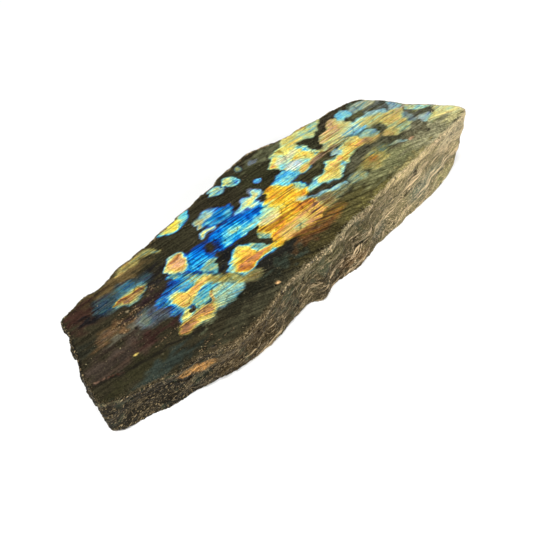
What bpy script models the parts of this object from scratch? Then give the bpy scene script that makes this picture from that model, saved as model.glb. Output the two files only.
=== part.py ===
"""A semi-polished labradorite slab: one stone with a polished face, a sawn back and rough broken walls.

The stone lies on its sawn back, which is the plane z = 0. Its length runs along +X, its polished face
looks up, and the origin is the bottom centre of its bounding box. Metres, +Z up.
"""

import math
import random

import bmesh
import bpy
from mathutils import Vector, noise

MM = 0.001
NODE_NAME = "labradorite_slab"

# Driving dimensions, in millimetres.
MIDDLE_THICKNESS = 24.5  # at the middle of the length
WEDGE_RISE = 0.065  # how much thicker the stone gets per millimetre of length
STATION_PITCH = 2.0  # between the stations round the outline
WALL_LEVELS = 12  # rings of the wall between its two worn edges
RIM_WEAR = 0.5  # width and drop of the worn edge round the polished face
FOOT_WEAR = 0.8  # the same round the sawn back

# The outline of the polished face, anticlockwise, as (x, y, flare): flare is how far the foot of the
# wall stands out from the face's edge there, or is cut back from it where it is negative.
FRONT_EDGE = (
    (-98.9, -17.4, -0.7), (-90.0, -21.5, -0.6), (-77.5, -26.2, -1.9), (-67.0, -29.0, -2.8),
    (-55.5, -31.4, -1.6), (-44.0, -31.7, -0.5), (-33.0, -29.6, 1.3), (-25.0, -28.6, 1.2),
    (-15.0, -28.8, 0.9), (-9.0, -28.9, 3.6), (-1.0, -28.8, 1.9), (8.0, -28.2, 3.4),
    (21.0, -27.6, 4.3), (34.0, -26.8, 3.3), (49.0, -25.7, 4.5), (66.0, -25.1, 4.7),
    (84.0, -24.8, 3.6),
)
FAR_END = (
    (97.8, -24.6, 1.0), (100.4, -21.2, 0.8), (96.6, -14.0, -1.0), (91.0, -6.0, -2.2),
    (86.6, 0.3, -1.6), (82.0, 9.0, -0.4), (78.2, 15.2, -1.2),
)
BACK_EDGE = (
    (74.0, 19.6, -1.8), (65.6, 21.9, -3.0), (56.5, 23.2, -1.4), (45.0, 25.2, -0.6),
    (35.0, 26.1, -2.0), (28.0, 28.2, -3.8), (20.0, 30.2, -3.2), (10.0, 31.6, -1.8),
    (2.0, 30.7, -1.4), (-6.0, 30.1, -2.6), (-11.0, 28.1, -3.6), (-18.0, 28.0, -2.4),
    (-25.0, 26.4, -1.0), (-34.0, 26.1, -1.8), (-46.0, 24.7, -3.2), (-57.0, 22.8, -2.0),
    (-66.0, 21.8, -0.6), (-73.0, 20.6, -0.4), (-78.2, 21.4, -1.0),
    (-83.5, 20.3, -2.0),
)
NEAR_END = (
    (-90.2, 18.9, -2.4), (-92.4, 10.3, -1.0), (-95.0, 1.6, 0.2), (-97.2, -5.2, -0.2),
    (-99.2, -12.9, -1.2),
)

# Broken stone of the walls, in millimetres.
SEED = 47
FLAKES = 72  # flat and hollow places where a flake of stone came off
FLAKE_RADIUS = (5.0, 15.0)
FLAKE_DEPTH = (0.5, 2.0)
FLAKE_TILT = 0.2  # steepest slope of a flake's place against the wall
BULGE = 0.6  # the wall stands out this much before flakes are taken off
CORNER_SPAN = 4  # stations each way over which the outline's turning is measured
CORNER_KEEP = 0.85  # share of the breakage that a right-angled corner is spared
CORNER_BULGE = 1.4  # how much further such a corner stands out at the middle of its height
GRAIN_TILT = math.radians(12.0)  # the mineral's layers climb this much towards +X
LAYER_HEIGHT = 4.6  # between the ledges that the layers leave
LAYER_LENGTH = 22.0  # over which a ledge fades in and out
LEDGE_DEPTH = 1.1
CHIP_SIZE = 5.0  # spacing of the small chips along the wall's edges
CHIP_DEPTH = 0.45


def face_height(x):
    """The polished face's height over the sawn back."""
    return MIDDLE_THICKNESS + WEDGE_RISE * x


def through_points(points, index, share):
    """A point of the closed smooth curve through the points, share of the way on from points[index]."""
    before, start, end, after = (Vector(points[(index + k) % len(points)]) for k in (-1, 0, 1, 2))
    turn = (end - before) * share + (before * 2 - start * 5 + end * 4 - after) * share**2
    return start + 0.5 * (turn + (start * 3 - before - end * 3 + after) * share**3)


def stations():
    """Evenly spaced (point, outward direction, flare, distance round, breakage) of the outline."""
    corners = FRONT_EDGE + FAR_END + BACK_EDGE + NEAR_END
    fine = [through_points(corners, i, k / 24) for i in range(len(corners)) for k in range(24)]
    fine.append(fine[0])
    lengths = [(b.xy - a.xy).length for a, b in zip(fine, fine[1:])]
    count = round(sum(lengths) / STATION_PITCH)
    step = sum(lengths) / count
    places, walked, piece = [], 0.0, 0
    for number in range(count):
        while walked + lengths[piece] < number * step:
            walked += lengths[piece]
            piece += 1
        share = (number * step - walked) / lengths[piece]
        places.append(fine[piece].lerp(fine[piece + 1], share))
    found = []
    for number, place in enumerate(places):
        along = (places[(number + 1) % count] - places[number - 1]).xy.normalized()
        coming = (place - places[number - CORNER_SPAN]).xy
        going = (places[(number + CORNER_SPAN) % count] - place).xy
        spared = CORNER_KEEP * min(1.0, coming.angle(going) / (math.pi / 2))
        found.append((place.xy, Vector((along.y, -along.x)), place.z, number * step, 1.0 - spared))
    return found


def make_flakes(outline_length):
    """Seeded flakes round the wall: (distance round, height, radius, depth, slope along, slope up)."""
    draw = random.Random(SEED)
    flakes = []
    for number in range(FLAKES):
        round_the_wall = (number + draw.uniform(-0.8, 0.8)) * outline_length / FLAKES
        height = draw.uniform(0.0, MIDDLE_THICKNESS)
        size = draw.uniform(*FLAKE_RADIUS), draw.uniform(*FLAKE_DEPTH)
        slopes = [draw.uniform(-FLAKE_TILT, FLAKE_TILT) for _ in range(2)]
        flakes.append((round_the_wall, height, *size, *slopes))
    return flakes


def flaked(distance, height, flakes, outline_length):
    """How deep the flakes cut the wall there: the deepest of their slanting flat places."""
    deepest = 0.0
    for centre, centre_height, radius, depth, slope_along, slope_up in flakes:
        half = outline_length / 2
        along = (distance - centre + half) % outline_length - half
        up = height - centre_height
        share = (along**2 + up**2) / radius**2
        if share < 1.0:
            cut = depth + slope_along * along + slope_up * up
            deepest = max(deepest, cut * (1.0 - share**3))
    return deepest


def ledge(point):
    """How far the layer at that point stands out, from -1 to 1: each layer broke off along its own line."""
    along = point.x * math.cos(GRAIN_TILT) + point.z * math.sin(GRAIN_TILT)
    across = point.z * math.cos(GRAIN_TILT) - point.x * math.sin(GRAIN_TILT)
    layer = math.floor(across / LAYER_HEIGHT)
    return 2.0 * noise.noise(Vector((along / LAYER_LENGTH, point.y / LAYER_LENGTH, 0.37 + layer * 1.7)))


def wall_point(station, share, wear, flakes, outline_length):
    """A point of the wall, share of the way up it, set in by the wear of its edge."""
    place, outward, flare, distance, breakage = station
    height = share * face_height(place.x)
    chip = noise.noise(Vector((place.x, place.y, height)) / CHIP_SIZE)
    middle = math.sin(math.pi * share) ** 0.5 if 0.0 < share < 1.0 else 0.0
    relief = BULGE + middle * LEDGE_DEPTH * ledge(Vector((place.x, place.y, height)))
    relief -= (0.35 + 0.65 * middle) * flaked(distance, height, flakes, outline_length)
    bulge = CORNER_BULGE * (1.0 - breakage) * math.sin(math.pi * share)
    offset = flare * (1.0 - share) + bulge - wear + CHIP_DEPTH * chip + breakage * relief
    across = place + outward * offset
    return Vector((across.x, across.y, share * face_height(across.x))) * MM


def wall_shares():
    """(share of the height, wear) of each ring of the wall, from the sawn back to the polished face."""
    foot = FOOT_WEAR / MIDDLE_THICKNESS
    rim = 1.0 - RIM_WEAR / MIDDLE_THICKNESS
    rings = [(0.0, FOOT_WEAR)]
    rings += [(foot + (rim - foot) * k / (WALL_LEVELS - 1), 0.0) for k in range(WALL_LEVELS)]
    return rings + [(1.0, RIM_WEAR)]


def raise_walls(mesh, outline, flakes, outline_length):
    """The sawn back as one face, extruded ring by ring up to the polished face."""
    station_of = mesh.verts.layers.int.new("station")
    rings = wall_shares()
    for number in range(len(outline)):
        corner = mesh.verts.new()
        corner[station_of] = number
    mesh.verts.ensure_lookup_table()
    cap = mesh.faces.new(mesh.verts)
    for level, (share, wear) in enumerate(rings):
        if level:
            covered = cap
            made = bmesh.ops.extrude_face_region(mesh, geom=[covered])["geom"]
            cap = next(item for item in made if isinstance(item, bmesh.types.BMFace))
        if level > 1:  # the sawn back stays, and no later cap does
            bmesh.ops.delete(mesh, geom=[covered], context="FACES_ONLY")
        for corner in cap.verts:
            station = outline[corner[station_of]]
            corner.co = wall_point(station, share, wear, flakes, outline_length)


def centre_on_origin(mesh):
    """Moves the stone so that the origin is the bottom centre of its box."""
    for axis in (0, 1):
        places = [corner.co[axis] for corner in mesh.verts]
        middle = (min(places) + max(places)) / 2
        for corner in mesh.verts:
            corner.co[axis] -= middle


def labradorite():
    """Dark olive feldspar with a dull polish."""
    material = bpy.data.materials.new("labradorite")
    material.use_nodes = True
    surface = material.node_tree.nodes["Principled BSDF"]
    surface.inputs["Base Color"].default_value = (0.062, 0.055, 0.032, 1.0)
    surface.inputs["Roughness"].default_value = 0.4
    surface.inputs["Metallic"].default_value = 0.0
    return material


def make_slab():
    outline = stations()
    outline_length = STATION_PITCH * len(outline)
    flakes = make_flakes(outline_length)
    mesh = bmesh.new()
    raise_walls(mesh, outline, flakes, outline_length)
    centre_on_origin(mesh)
    bmesh.ops.triangulate(mesh, faces=mesh.faces)
    bmesh.ops.recalc_face_normals(mesh, faces=mesh.faces)
    data = bpy.data.meshes.new(NODE_NAME)
    mesh.to_mesh(data)
    mesh.free()
    data.materials.append(labradorite())
    slab = bpy.data.objects.new(NODE_NAME, data)
    collection = bpy.data.collections.new("labradorite slab")
    bpy.context.scene.collection.children.link(collection)
    collection.objects.link(slab)


for old in list(bpy.data.objects):
    bpy.data.objects.remove(old)
make_slab()
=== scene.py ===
# %% [markdown]
# # A semi-polished labradorite slab
#
# Labradorite is a dark feldspar that grew in thousands of thin layers. Light that is thrown back between the
# layers comes out in one colour, blue where they are thin and gold or copper where they are thick. This slab
# was sawn on its back, polished on its face, and left rough where it broke off along its walls.
#
# The solid model gives the size and the outline. This lesson dresses it: a finer copy of the stone gets its
# broken grain, its polished face gets the coloured flashes, and a plain studio shows it.

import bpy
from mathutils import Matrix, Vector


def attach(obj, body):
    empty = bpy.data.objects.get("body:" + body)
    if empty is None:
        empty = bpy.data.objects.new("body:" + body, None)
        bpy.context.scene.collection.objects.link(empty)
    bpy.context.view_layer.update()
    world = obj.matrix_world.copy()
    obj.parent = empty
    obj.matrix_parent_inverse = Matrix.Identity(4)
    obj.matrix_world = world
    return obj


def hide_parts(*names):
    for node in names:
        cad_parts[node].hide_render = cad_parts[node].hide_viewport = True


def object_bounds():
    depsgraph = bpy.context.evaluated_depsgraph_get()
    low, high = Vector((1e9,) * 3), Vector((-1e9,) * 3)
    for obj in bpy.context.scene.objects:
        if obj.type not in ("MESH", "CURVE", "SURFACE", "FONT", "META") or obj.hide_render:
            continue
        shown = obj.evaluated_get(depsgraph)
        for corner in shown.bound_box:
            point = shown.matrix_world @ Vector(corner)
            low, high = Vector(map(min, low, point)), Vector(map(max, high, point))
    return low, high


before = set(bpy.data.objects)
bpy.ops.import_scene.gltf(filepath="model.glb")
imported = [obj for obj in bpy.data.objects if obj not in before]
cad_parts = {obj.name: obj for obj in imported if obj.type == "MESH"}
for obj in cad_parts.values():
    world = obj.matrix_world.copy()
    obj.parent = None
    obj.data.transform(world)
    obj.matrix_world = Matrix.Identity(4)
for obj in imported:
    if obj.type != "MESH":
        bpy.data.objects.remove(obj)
cad_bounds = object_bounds()
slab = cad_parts["labradorite_slab"]
lowest, highest = ([round(v, 4) for v in corner] for corner in cad_bounds)
print("solid model in metres: lowest corner", lowest, "highest corner", highest)

# %% [markdown]
# The polished face is one plane that climbs gently along the stone, because the slab is a wedge. Rather than
# repeat its numbers here, we measure them: every flat triangle that looks up belongs to that face, and their
# mean normal, weighted by area, is the plane's normal.

# %% Measure the polished face
import bmesh
import bpy
import math
import numpy as np
from mathutils import Vector, kdtree, noise

MM = 0.001


def face_plane(mesh):
    """A point and the normal of the plane that the upward triangles lie in."""
    upward = [face for face in mesh.polygons if face.normal.z > 0.99 and face.center.z > 5 * MM]
    widest = max(upward, key=lambda face: face.area)
    level = [face for face in upward if face.normal.dot(widest.normal) > 0.9999]
    normal = sum((face.normal * face.area for face in level), Vector())
    return widest.center.copy(), normal.normalized()


face_point, face_normal = face_plane(slab.data)
face_slope = -face_normal.x / face_normal.z
face_middle = face_point.z - face_slope * face_point.x
print("the face climbs", round(face_slope / MM, 1), "mm a metre")
print("and is", round(face_middle / MM, 2), "mm high in the middle")

# %% [markdown]
# A stone on a table is seen from above and from one end. The camera looks down at 48 degrees, across the
# stone's length, from less than an arm's length away: so the near end looks wider than the far one. A focal
# length is easier to think of as a number of millimetres on a 36 mm wide film.

# %% Camera
CAMERA_PLACE = Vector((-125.6, -108.9, 172.0)) * MM
LOOKING_DOWN = math.radians(48)
LOOKING_ROUND = math.radians(-47)  # turned from +Y towards +X
FOCAL_LENGTH = 37.8

camera_data = bpy.data.cameras.new("camera")
camera_data.lens = FOCAL_LENGTH
camera_data.clip_start = 0.01
camera = bpy.data.objects.new("camera", camera_data)
camera.location = CAMERA_PLACE
camera.rotation_euler = (math.radians(90) - LOOKING_DOWN, 0, LOOKING_ROUND)
bpy.context.scene.collection.objects.link(camera)
bpy.context.scene.camera = camera
bpy.context.scene.view_settings.view_transform = "Standard"
print("camera", round(CAMERA_PLACE.length / MM), "mm from the stone's middle")

# %% [markdown]
# A dark stone needs a bright, plain room. A big white floor throws light up at the walls, a wide soft lamp
# hangs overhead, and a second one fills the side that faces us. A polished face is a dim mirror, so the part
# of the sky that it would show us is made darker, and the lamps stay out of its reflections: the stone then
# stays deep in colour.

# %% Floor, lamps and sky
FLOOR_SIZE = 6.0
LAMP_SIZE = 0.5
MIRROR_DIRECTION = (0.39, 0.46, 0.80)  # where the camera looks by way of the polished face
DARK_FROM, DARK_AT = 0.45, 0.9  # how far a direction agrees with it where the sky starts and ends to darken
SKY_BRIGHT = (0.45, 0.455, 0.46, 1)
SKY_DARK = (0.05, 0.048, 0.042, 1)


def make_floor():
    """A pale matt square to stand on."""
    mesh = bmesh.new()
    bmesh.ops.create_grid(mesh, x_segments=1, y_segments=1, size=FLOOR_SIZE / 2)
    data = bpy.data.meshes.new("floor")
    mesh.to_mesh(data)
    mesh.free()
    paint = bpy.data.materials.new("white paper")
    paint.use_nodes = True
    surface = paint.node_tree.nodes["Principled BSDF"]
    surface.inputs["Base Color"].default_value = (0.93, 0.93, 0.92, 1)
    surface.inputs["Roughness"].default_value = 0.9
    surface.inputs["Specular IOR Level"].default_value = 0.1
    data.materials.append(paint)
    floor = bpy.data.objects.new("floor", data)
    bpy.context.scene.collection.objects.link(floor)


def softbox(name, place, power):
    """A square lamp that looks at the stone."""
    lamp = bpy.data.lights.new(name, "AREA")
    lamp.size = LAMP_SIZE
    lamp.energy = power
    holder = bpy.data.objects.new(name, lamp)
    holder.location = place
    holder.rotation_euler = (-Vector(place)).to_track_quat("-Z", "Y").to_euler()
    holder.visible_glossy = False  # it lights the stone, but its glare doesn't hide the polished face
    bpy.context.scene.collection.objects.link(holder)


def make_sky():
    """A pale sky with one darker side."""
    world = bpy.data.worlds.new("studio")
    world.use_nodes = True
    tree = world.node_tree
    direction = tree.nodes.new("ShaderNodeTexCoord").outputs["Generated"]
    towards = tree.nodes.new("ShaderNodeVectorMath")
    towards.operation = "DOT_PRODUCT"
    towards.inputs[1].default_value = MIRROR_DIRECTION
    tree.links.new(direction, towards.inputs[0])
    blend = tree.nodes.new("ShaderNodeMapRange")
    blend.interpolation_type = "SMOOTHSTEP"
    blend.inputs["From Min"].default_value = DARK_FROM
    blend.inputs["From Max"].default_value = DARK_AT
    tree.links.new(towards.outputs["Value"], blend.inputs["Value"])
    mix = tree.nodes.new("ShaderNodeMix")
    mix.data_type = "RGBA"
    mix.inputs["A"].default_value = SKY_BRIGHT
    mix.inputs["B"].default_value = SKY_DARK
    tree.links.new(blend.outputs["Result"], mix.inputs["Factor"])
    tree.links.new(mix.outputs["Result"], tree.nodes["Background"].inputs["Color"])
    bpy.context.scene.world = world


make_floor()
softbox("overhead lamp", (-0.35, -0.1, 0.9), 9.5)
softbox("front lamp", (0.25, -0.9, 0.55), 8.0)
make_sky()
print("floor", FLOOR_SIZE, "m wide, two lamps")

# %% [markdown]
# The solid model has a few thousand triangles, enough for its shape but not for its surface. A voxel remesh
# lays a fine, even net over it, on which small broken ledges and pits can be pushed in and out. The model's
# triangles are loose, so their corners are merged first: a remesh needs a closed skin.

# %% A fine even mesh
NET_SIZE = 0.56 * MM


def closed_copy(mesh, name):
    """The mesh as a new object, its corners merged."""
    copy = bmesh.new()
    copy.from_mesh(mesh)
    bmesh.ops.remove_doubles(copy, verts=copy.verts, dist=0.01 * MM)
    data = bpy.data.meshes.new(name)
    copy.to_mesh(data)
    copy.free()
    made = bpy.data.objects.new(name, data)
    bpy.context.scene.collection.objects.link(made)
    return made


def remesh(piece):
    """Replaces the piece's mesh by a net of even squares."""
    modifier = piece.modifiers.new("net", "REMESH")
    modifier.mode = "VOXEL"
    modifier.voxel_size = NET_SIZE
    evaluated = piece.evaluated_get(bpy.context.evaluated_depsgraph_get())
    fine = bpy.data.meshes.new_from_object(evaluated)
    piece.modifiers.clear()
    piece.data = fine
    fine.name = piece.name


stone = closed_copy(slab.data, "labradorite_stone")
remesh(stone)
print("net of", len(stone.data.polygons), "squares")

# %% [markdown]
# The net is even but not exact. Points that lie almost in the polished face or on the sawn back are moved
# right into those planes, so that both are truly flat. Every other point belongs to the broken wall.

# %% Flatten the face and the back
NEAR = 0.45 * NET_SIZE


def height_under_face(place):
    """How far below the polished face a point is."""
    return (face_point - place).dot(face_normal)


def flatten(mesh):
    """Moves points into the two planes, and returns the points of the wall."""
    broken_points = []
    for point in mesh.verts:
        below = height_under_face(point.co)
        if abs(below) < NEAR:
            point.co += face_normal * below
        elif abs(point.co.z) < NEAR:
            point.co.z = 0.0
        else:
            broken_points.append(point)
    return broken_points


net = bmesh.new()
net.from_mesh(stone.data)
relief_layer = net.verts.layers.float.new("relief")  # made first, because a new layer renews every point
wall_points = flatten(net)
print(len(wall_points), "of", len(net.verts), "points are on the wall")

# %% [markdown]
# Broken feldspar splits along its layers. On the walls that shows as long, thin fibres that climb a little
# towards the thick end, between small flat steps, with a fine grit over all. We make the three with noise:
# a ridged noise stretched along the layers, a Voronoi pattern in which each cell stands out by its own
# amount, and a small round noise. The net is smoothed first, so that none of the model's triangles shows.

# %% Break the walls
GRAIN_CLIMB = math.radians(12)
FIBRE_SIZE = (16, 3, 1.7)  # along the grain, into the wall and across the grain; all in millimetres
FIBRE_BEND = (0.22, 9)  # how far the pattern is bent, in its own sizes, and over how many millimetres
FIBRE_DEPTH = 0.3
STEP_SIZE = (9, 5, 2.6)
STEP_BEND = (0.3, 5)
STEP_SPREAD = 7.3  # gives neighbouring steps values of the cell noise that lie far apart
STEP_DEPTH = 0.2
GRIT_SIZE = 1.5
GRIT_DEPTH = 0.2
FINER_GRIT, FINER_SHARE = 2.1, 0.6  # a grit so many times finer is laid over it, with this share
GRAINY_END = (-35, 18)  # where the grainy thin end gives way, and how softly, in millimetres
SMOOTH_END = (35, 15)  # the same for the smoother thick end
EDGE_CALM = 2.0  # millimetres from the face or the back over which the relief fades in
EDGE_RELIEF = 0.25  # share of the relief that is left right at the edge
SMOOTHINGS = 5
SIDEWAYS = 0.2  # a point is pushed only if this much of its normal is level
NOISE_SEED = 7  # Blender's vector noise is different in every run until it gets a seed

noise.seed_set(NOISE_SEED)


def along_grain(place):
    """A point in millimetres, turned so that X runs along the layers and Z across them."""
    x, y, z = place / MM
    along = x * math.cos(GRAIN_CLIMB) + z * math.sin(GRAIN_CLIMB)
    across = z * math.cos(GRAIN_CLIMB) - x * math.sin(GRAIN_CLIMB)
    return Vector((along, y, across))


def shrunk(place, size):
    """The point's place, counted in a pattern's own sizes."""
    return Vector([distance / unit for distance, unit in zip(place, size)])


def bent(grain, size, bend):
    """The point's place in a pattern of a size, bent a little."""
    strength, reach = bend
    return shrunk(grain, size) + strength * noise.noise_vector(grain / reach)


def past(along, end):
    """A soft change from -1 to 1 where an end begins or ends."""
    middle, softness = end
    return math.tanh((along - middle) / softness)


def fibres(grain):
    """Thin ridges, 1 along their crests and below 0 between them."""
    return 1.0 - 4.0 * abs(noise.noise(bent(grain, FIBRE_SIZE, FIBRE_BEND)))


def steps(grain):
    """Flat plates that stand out or lie deep by their own amounts."""
    nearest = noise.voronoi(bent(grain, STEP_SIZE, STEP_BEND))[1][0]
    return 2.0 * noise.cell(nearest * STEP_SPREAD) - 1.0


def grit(place):
    """Small round grains."""
    fine = place / (GRIT_SIZE * MM)
    return noise.noise(fine) + FINER_SHARE * noise.noise(fine * FINER_GRIT)


def relief_at(place):
    """How far the wall stands out there, in millimetres."""
    grain = along_grain(place)
    granular = 0.5 - 0.5 * past(grain.x, GRAINY_END)  # the thin end is grainier than the thick one
    relief = FIBRE_DEPTH * (1.0 - 0.6 * granular) * fibres(grain)
    relief += STEP_DEPTH * steps(grain)
    relief += GRIT_DEPTH * (0.6 + 0.8 * granular) * grit(place)
    relief *= 0.75 - 0.25 * past(grain.x, SMOOTH_END)  # and the thick end is the smoothest
    calm = min(1.0, height_under_face(place) / (EDGE_CALM * MM), place.z / (EDGE_CALM * MM))
    return (EDGE_RELIEF + (1.0 - EDGE_RELIEF) * calm) * relief


def break_wall(mesh, wall_points):
    """Pushes the wall's points in and out, and returns how far each one went, in millimetres."""
    axes = {"use_axis_x": True, "use_axis_y": True, "use_axis_z": True}
    for _ in range(SMOOTHINGS):
        bmesh.ops.smooth_vert(mesh, verts=wall_points, factor=0.5, **axes)
    mesh.normal_update()
    reliefs = [relief_at(point.co) for point in wall_points]
    for point, relief in zip(wall_points, reliefs):
        outward = Vector((point.normal.x, point.normal.y, 0))
        if outward.length > SIDEWAYS:
            point.co += outward.normalized() * relief * MM
            point[relief_layer] = relief
    return reliefs


reliefs = break_wall(net, wall_points)
print("wall relief from", round(min(reliefs), 2), "to", round(max(reliefs), 2), "mm")

# %% [markdown]
# A semi-polished face is flat, but not perfect: grains that were loose fell out and left small pits. Each pit
# is an oval hollow, deepest in its middle. Here we only lower points of the net, so the pits stay part of it.

# %% Small pits in the polished face
# Each pit: middle x and y, half length, half width, turn in degrees, depth; all in millimetres.
PITS = {
    "long pit": (-57.3, -10.8, 1.9, 1.0, 20, 0.8),
    "front pit": (-63.4, -27.3, 1.5, 0.8, -50, 0.6),
    "blue pit": (-36.2, 4.4, 0.9, 0.7, 30, 0.4),
    "small blue pit": (-30.6, 6.6, 0.7, 0.5, 60, 0.4),
    "rim pit": (-14.6, -28.4, 1.5, 0.5, -25, 0.5),
    "near rim pit": (-31.6, -28.8, 0.9, 0.5, 0, 0.4),
    "scratch pit": (18.0, -25.2, 1.4, 0.4, -35, 0.3),
    "far pit": (88.8, -12.0, 1.0, 0.8, 0, 0.4),
    "far small pit": (76.2, -18.2, 1.2, 0.4, -10, 0.3),
    "left pit": (-75.0, -2.2, 0.8, 0.5, 40, 0.3),
}


def pit_share(x, y, pit):
    """1 in the middle of the pit, 0 from its edge on."""
    middle_x, middle_y, half_length, half_width, turn, _ = pit
    turn = math.radians(turn)
    along = (x - middle_x) * math.cos(turn) + (y - middle_y) * math.sin(turn)
    across = (y - middle_y) * math.cos(turn) - (x - middle_x) * math.sin(turn)
    return max(0.0, 1.0 - (along / half_length) ** 2 - (across / half_width) ** 2)


def sink_pits(mesh):
    """Lowers the face's points that lie in a pit."""
    for point in mesh.verts:
        if height_under_face(point.co) < NEAR:
            x, y = point.co.x / MM, point.co.y / MM
            depth = max(pit[-1] * pit_share(x, y, pit) ** 0.5 for pit in PITS.values())
            point.co -= face_normal * depth * MM


sink_pits(net)
print(len(PITS), "pits, the deepest", max(pit[-1] for pit in PITS.values()), "mm")

# %% [markdown]
# The sawn back is a plain plane, so it doesn't need a net. Its squares are dissolved into one face and cut
# into triangles again, which saves about a quarter of the piece's triangles and changes nothing that is seen.

# %% Fewer triangles on the back
def simplify_back(mesh):
    """Joins the squares of the sawn back, and makes every face a triangle."""
    back = [face for face in mesh.faces if all(point.co.z < 0.001 * MM for point in face.verts)]
    bmesh.ops.dissolve_faces(mesh, faces=back, use_verts=True)
    bmesh.ops.triangulate(mesh, faces=mesh.faces)


simplify_back(net)
print(len(net.faces), "triangles")
net.to_mesh(stone.data)
net.free()
stone.data.shade_smooth()
stone.data.set_sharp_from_angle(angle=math.radians(50))

# %% [markdown]
# From here on the stone gets its colours. Some facts are worked out for every point of the mesh, and kept
# with it as attributes: how far it is from the worn rim, what its ground colour is, and which flash covers
# it. The shader reads them, and adds the fine grain that the net is too coarse for.

# %% Tools for painting on points
WORN_DEPTH = 1.0  # millimetres below the polished plane at which its worn rim ends


def smoothstep(share):
    """A soft step from 0 to 1."""
    share = np.clip(share, 0.0, 1.0)
    return share * share * (3.0 - 2.0 * share)


def linear(red, green, blue):
    """A colour as light, from the 0 to 255 values that a screen shows."""
    screen = np.array((red, green, blue)) / 255.0
    return np.where(screen < 0.04045, screen / 12.92, ((screen + 0.055) / 1.055) ** 2.4)


def keep(name, values):
    """Stores one value or one colour for each point of the stone."""
    values = np.asarray(values, np.float32)
    if values.ndim == 1:
        stone.data.attributes.new(name, "FLOAT", "POINT").data.foreach_set("value", values)
    else:
        colours = np.column_stack([values, np.ones(len(values), np.float32)])
        stone.data.attributes.new(name, "FLOAT_COLOR", "POINT").data.foreach_set("color", colours.ravel())


def read_points(mesh):
    """The mesh's points in millimetres, one row each."""
    flat = np.empty(len(mesh.vertices) * 3, np.float32)
    mesh.vertices.foreach_get("co", flat)
    return flat.reshape(-1, 3).astype(float) / MM


points = read_points(stone.data)
under = np.array([(Vector(p) * MM - face_point).dot(face_normal) for p in points]) / -MM
face = np.flatnonzero(under < WORN_DEPTH)  # the polished face with its worn rim
print(len(face), "points on the face,", len(points) - len(face), "on the walls and the back")

# %% [markdown]
# The polished edge is bruised: tiny chips make it pale and dull. To know where it is, we collect the points
# just below the face, and ask for each point of the face how far the nearest of them is. A k-d tree answers
# that quickly.

# %% Distance from the rim
EDGE_TOP, EDGE_FOOT = 0.3, 1.2  # millimetres below the polished plane between which its edge lies
FARTHEST = 20.0  # millimetres; farther in, the distance doesn't matter


def distance_from_rim():
    """For each point of the stone, its distance in millimetres from the edge of the face."""
    edge = points[(under > EDGE_TOP) & (under < EDGE_FOOT) & (sunk == 0)]
    tree = kdtree.KDTree(len(edge))
    for number, (x, y, _) in enumerate(edge):
        tree.insert((x, y, 0), number)
    tree.balance()
    distance = under.copy()
    for number in np.flatnonzero(under <= EDGE_TOP):
        x, y, _ = points[number]
        distance[number] = tree.find((x, y, 0))[2]
    return distance


sunk = np.zeros(len(points))
for number in face:
    sunk[number] = max(pit_share(*points[number][:2], pit) for pit in PITS.values())
rim = distance_from_rim()
keep("rim", np.minimum(rim, FARTHEST))
print("the middle of the face is", round(rim[face].max(), 1), "mm from the rim")

# %% [markdown]
# Labradorite's ground is not one colour either. It is dark olive in the middle, maroon at the thin end, and
# a lighter, greyer green at the thick end, whose paleness is partly a painted reflection of the sky that the
# thick end mirrors. Each tint below is a soft oval with a centre, two reaches, a colour and, at times, a
# strength. Its edge wanders with a little noise, so no oval shows.

# %% Ground colours of the face
STREAK_SIZE = (16, 1.1, 1.1)  # millimetres
WAVE_SIZE = (3.5, 2.5, 1)
WAVE_SLICE = 7.0  # the level at which the waves are cut from their noise
FADED = 1.5  # a stain is full up to half of its reach, and gone at this many reaches
DARK_OLIVE = linear(52, 48, 34)
ground = np.tile(DARK_OLIVE, (len(points), 1))


def wandered(which, streaky, wavy):
    """The places of points, shifted a little: in streaks along the stone, and in small waves."""
    shifted = points[which].copy()
    for number, (x, y, z) in enumerate(points[which]):
        shifted[number, 0] += streaky * noise.noise(shrunk((x, y, z), STREAK_SIZE))
        shifted[number, 1] += wavy * noise.noise(shrunk((x, y, WAVE_SLICE), WAVE_SIZE))
    return shifted


wandering = wandered(face, streaky=14.0, wavy=4.0)


def stain(which, share, colour):
    """Mixes a colour into the ground of some points, into each by its own share."""
    share = share[:, None]
    ground[which] = ground[which] * (1.0 - share) + linear(*colour) * share


def tint(centre, reach, colour, strength=1.0):
    """Stains the face in a soft oval."""
    far = np.hypot((wandering[:, 0] - centre[0]) / reach[0], (wandering[:, 1] - centre[1]) / reach[1])
    stain(face, strength * smoothstep(FADED - far), colour)


# the thin end
tint((-86, 16), (9, 6), (62, 42, 34))
tint((-96, 4), (4, 6), (40, 42, 34), 0.7)
tint((-81, 12.6), (7, 2.4), (16, 22, 26), 0.85)
tint((-81, 2.5), (6, 2.0), (112, 84, 56), 0.8)
tint((-85, -5), (10, 4), (62, 52, 42), 0.9)
tint((-76, -2), (6, 2.4), (104, 100, 84), 0.8)
tint((-71, -9), (7, 2.6), (58, 36, 32), 0.9)
tint((-66, 3.5), (7, 2), (50, 34, 38), 0.8)
tint((-88, -7), (8, 3), (70, 60, 52), 0.7)
tint((-80, -9), (9, 2.4), (74, 58, 48), 0.6)
tint((-84, -16), (12, 3.5), (50, 48, 30), 0.8)
tint((-80, -21), (11, 3), (52, 62, 56), 0.8)
tint((-63, 19.5), (14, 3.2), (108, 90, 56), 0.95)
tint((-58, 10), (6, 4), (34, 32, 34), 0.8)
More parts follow.
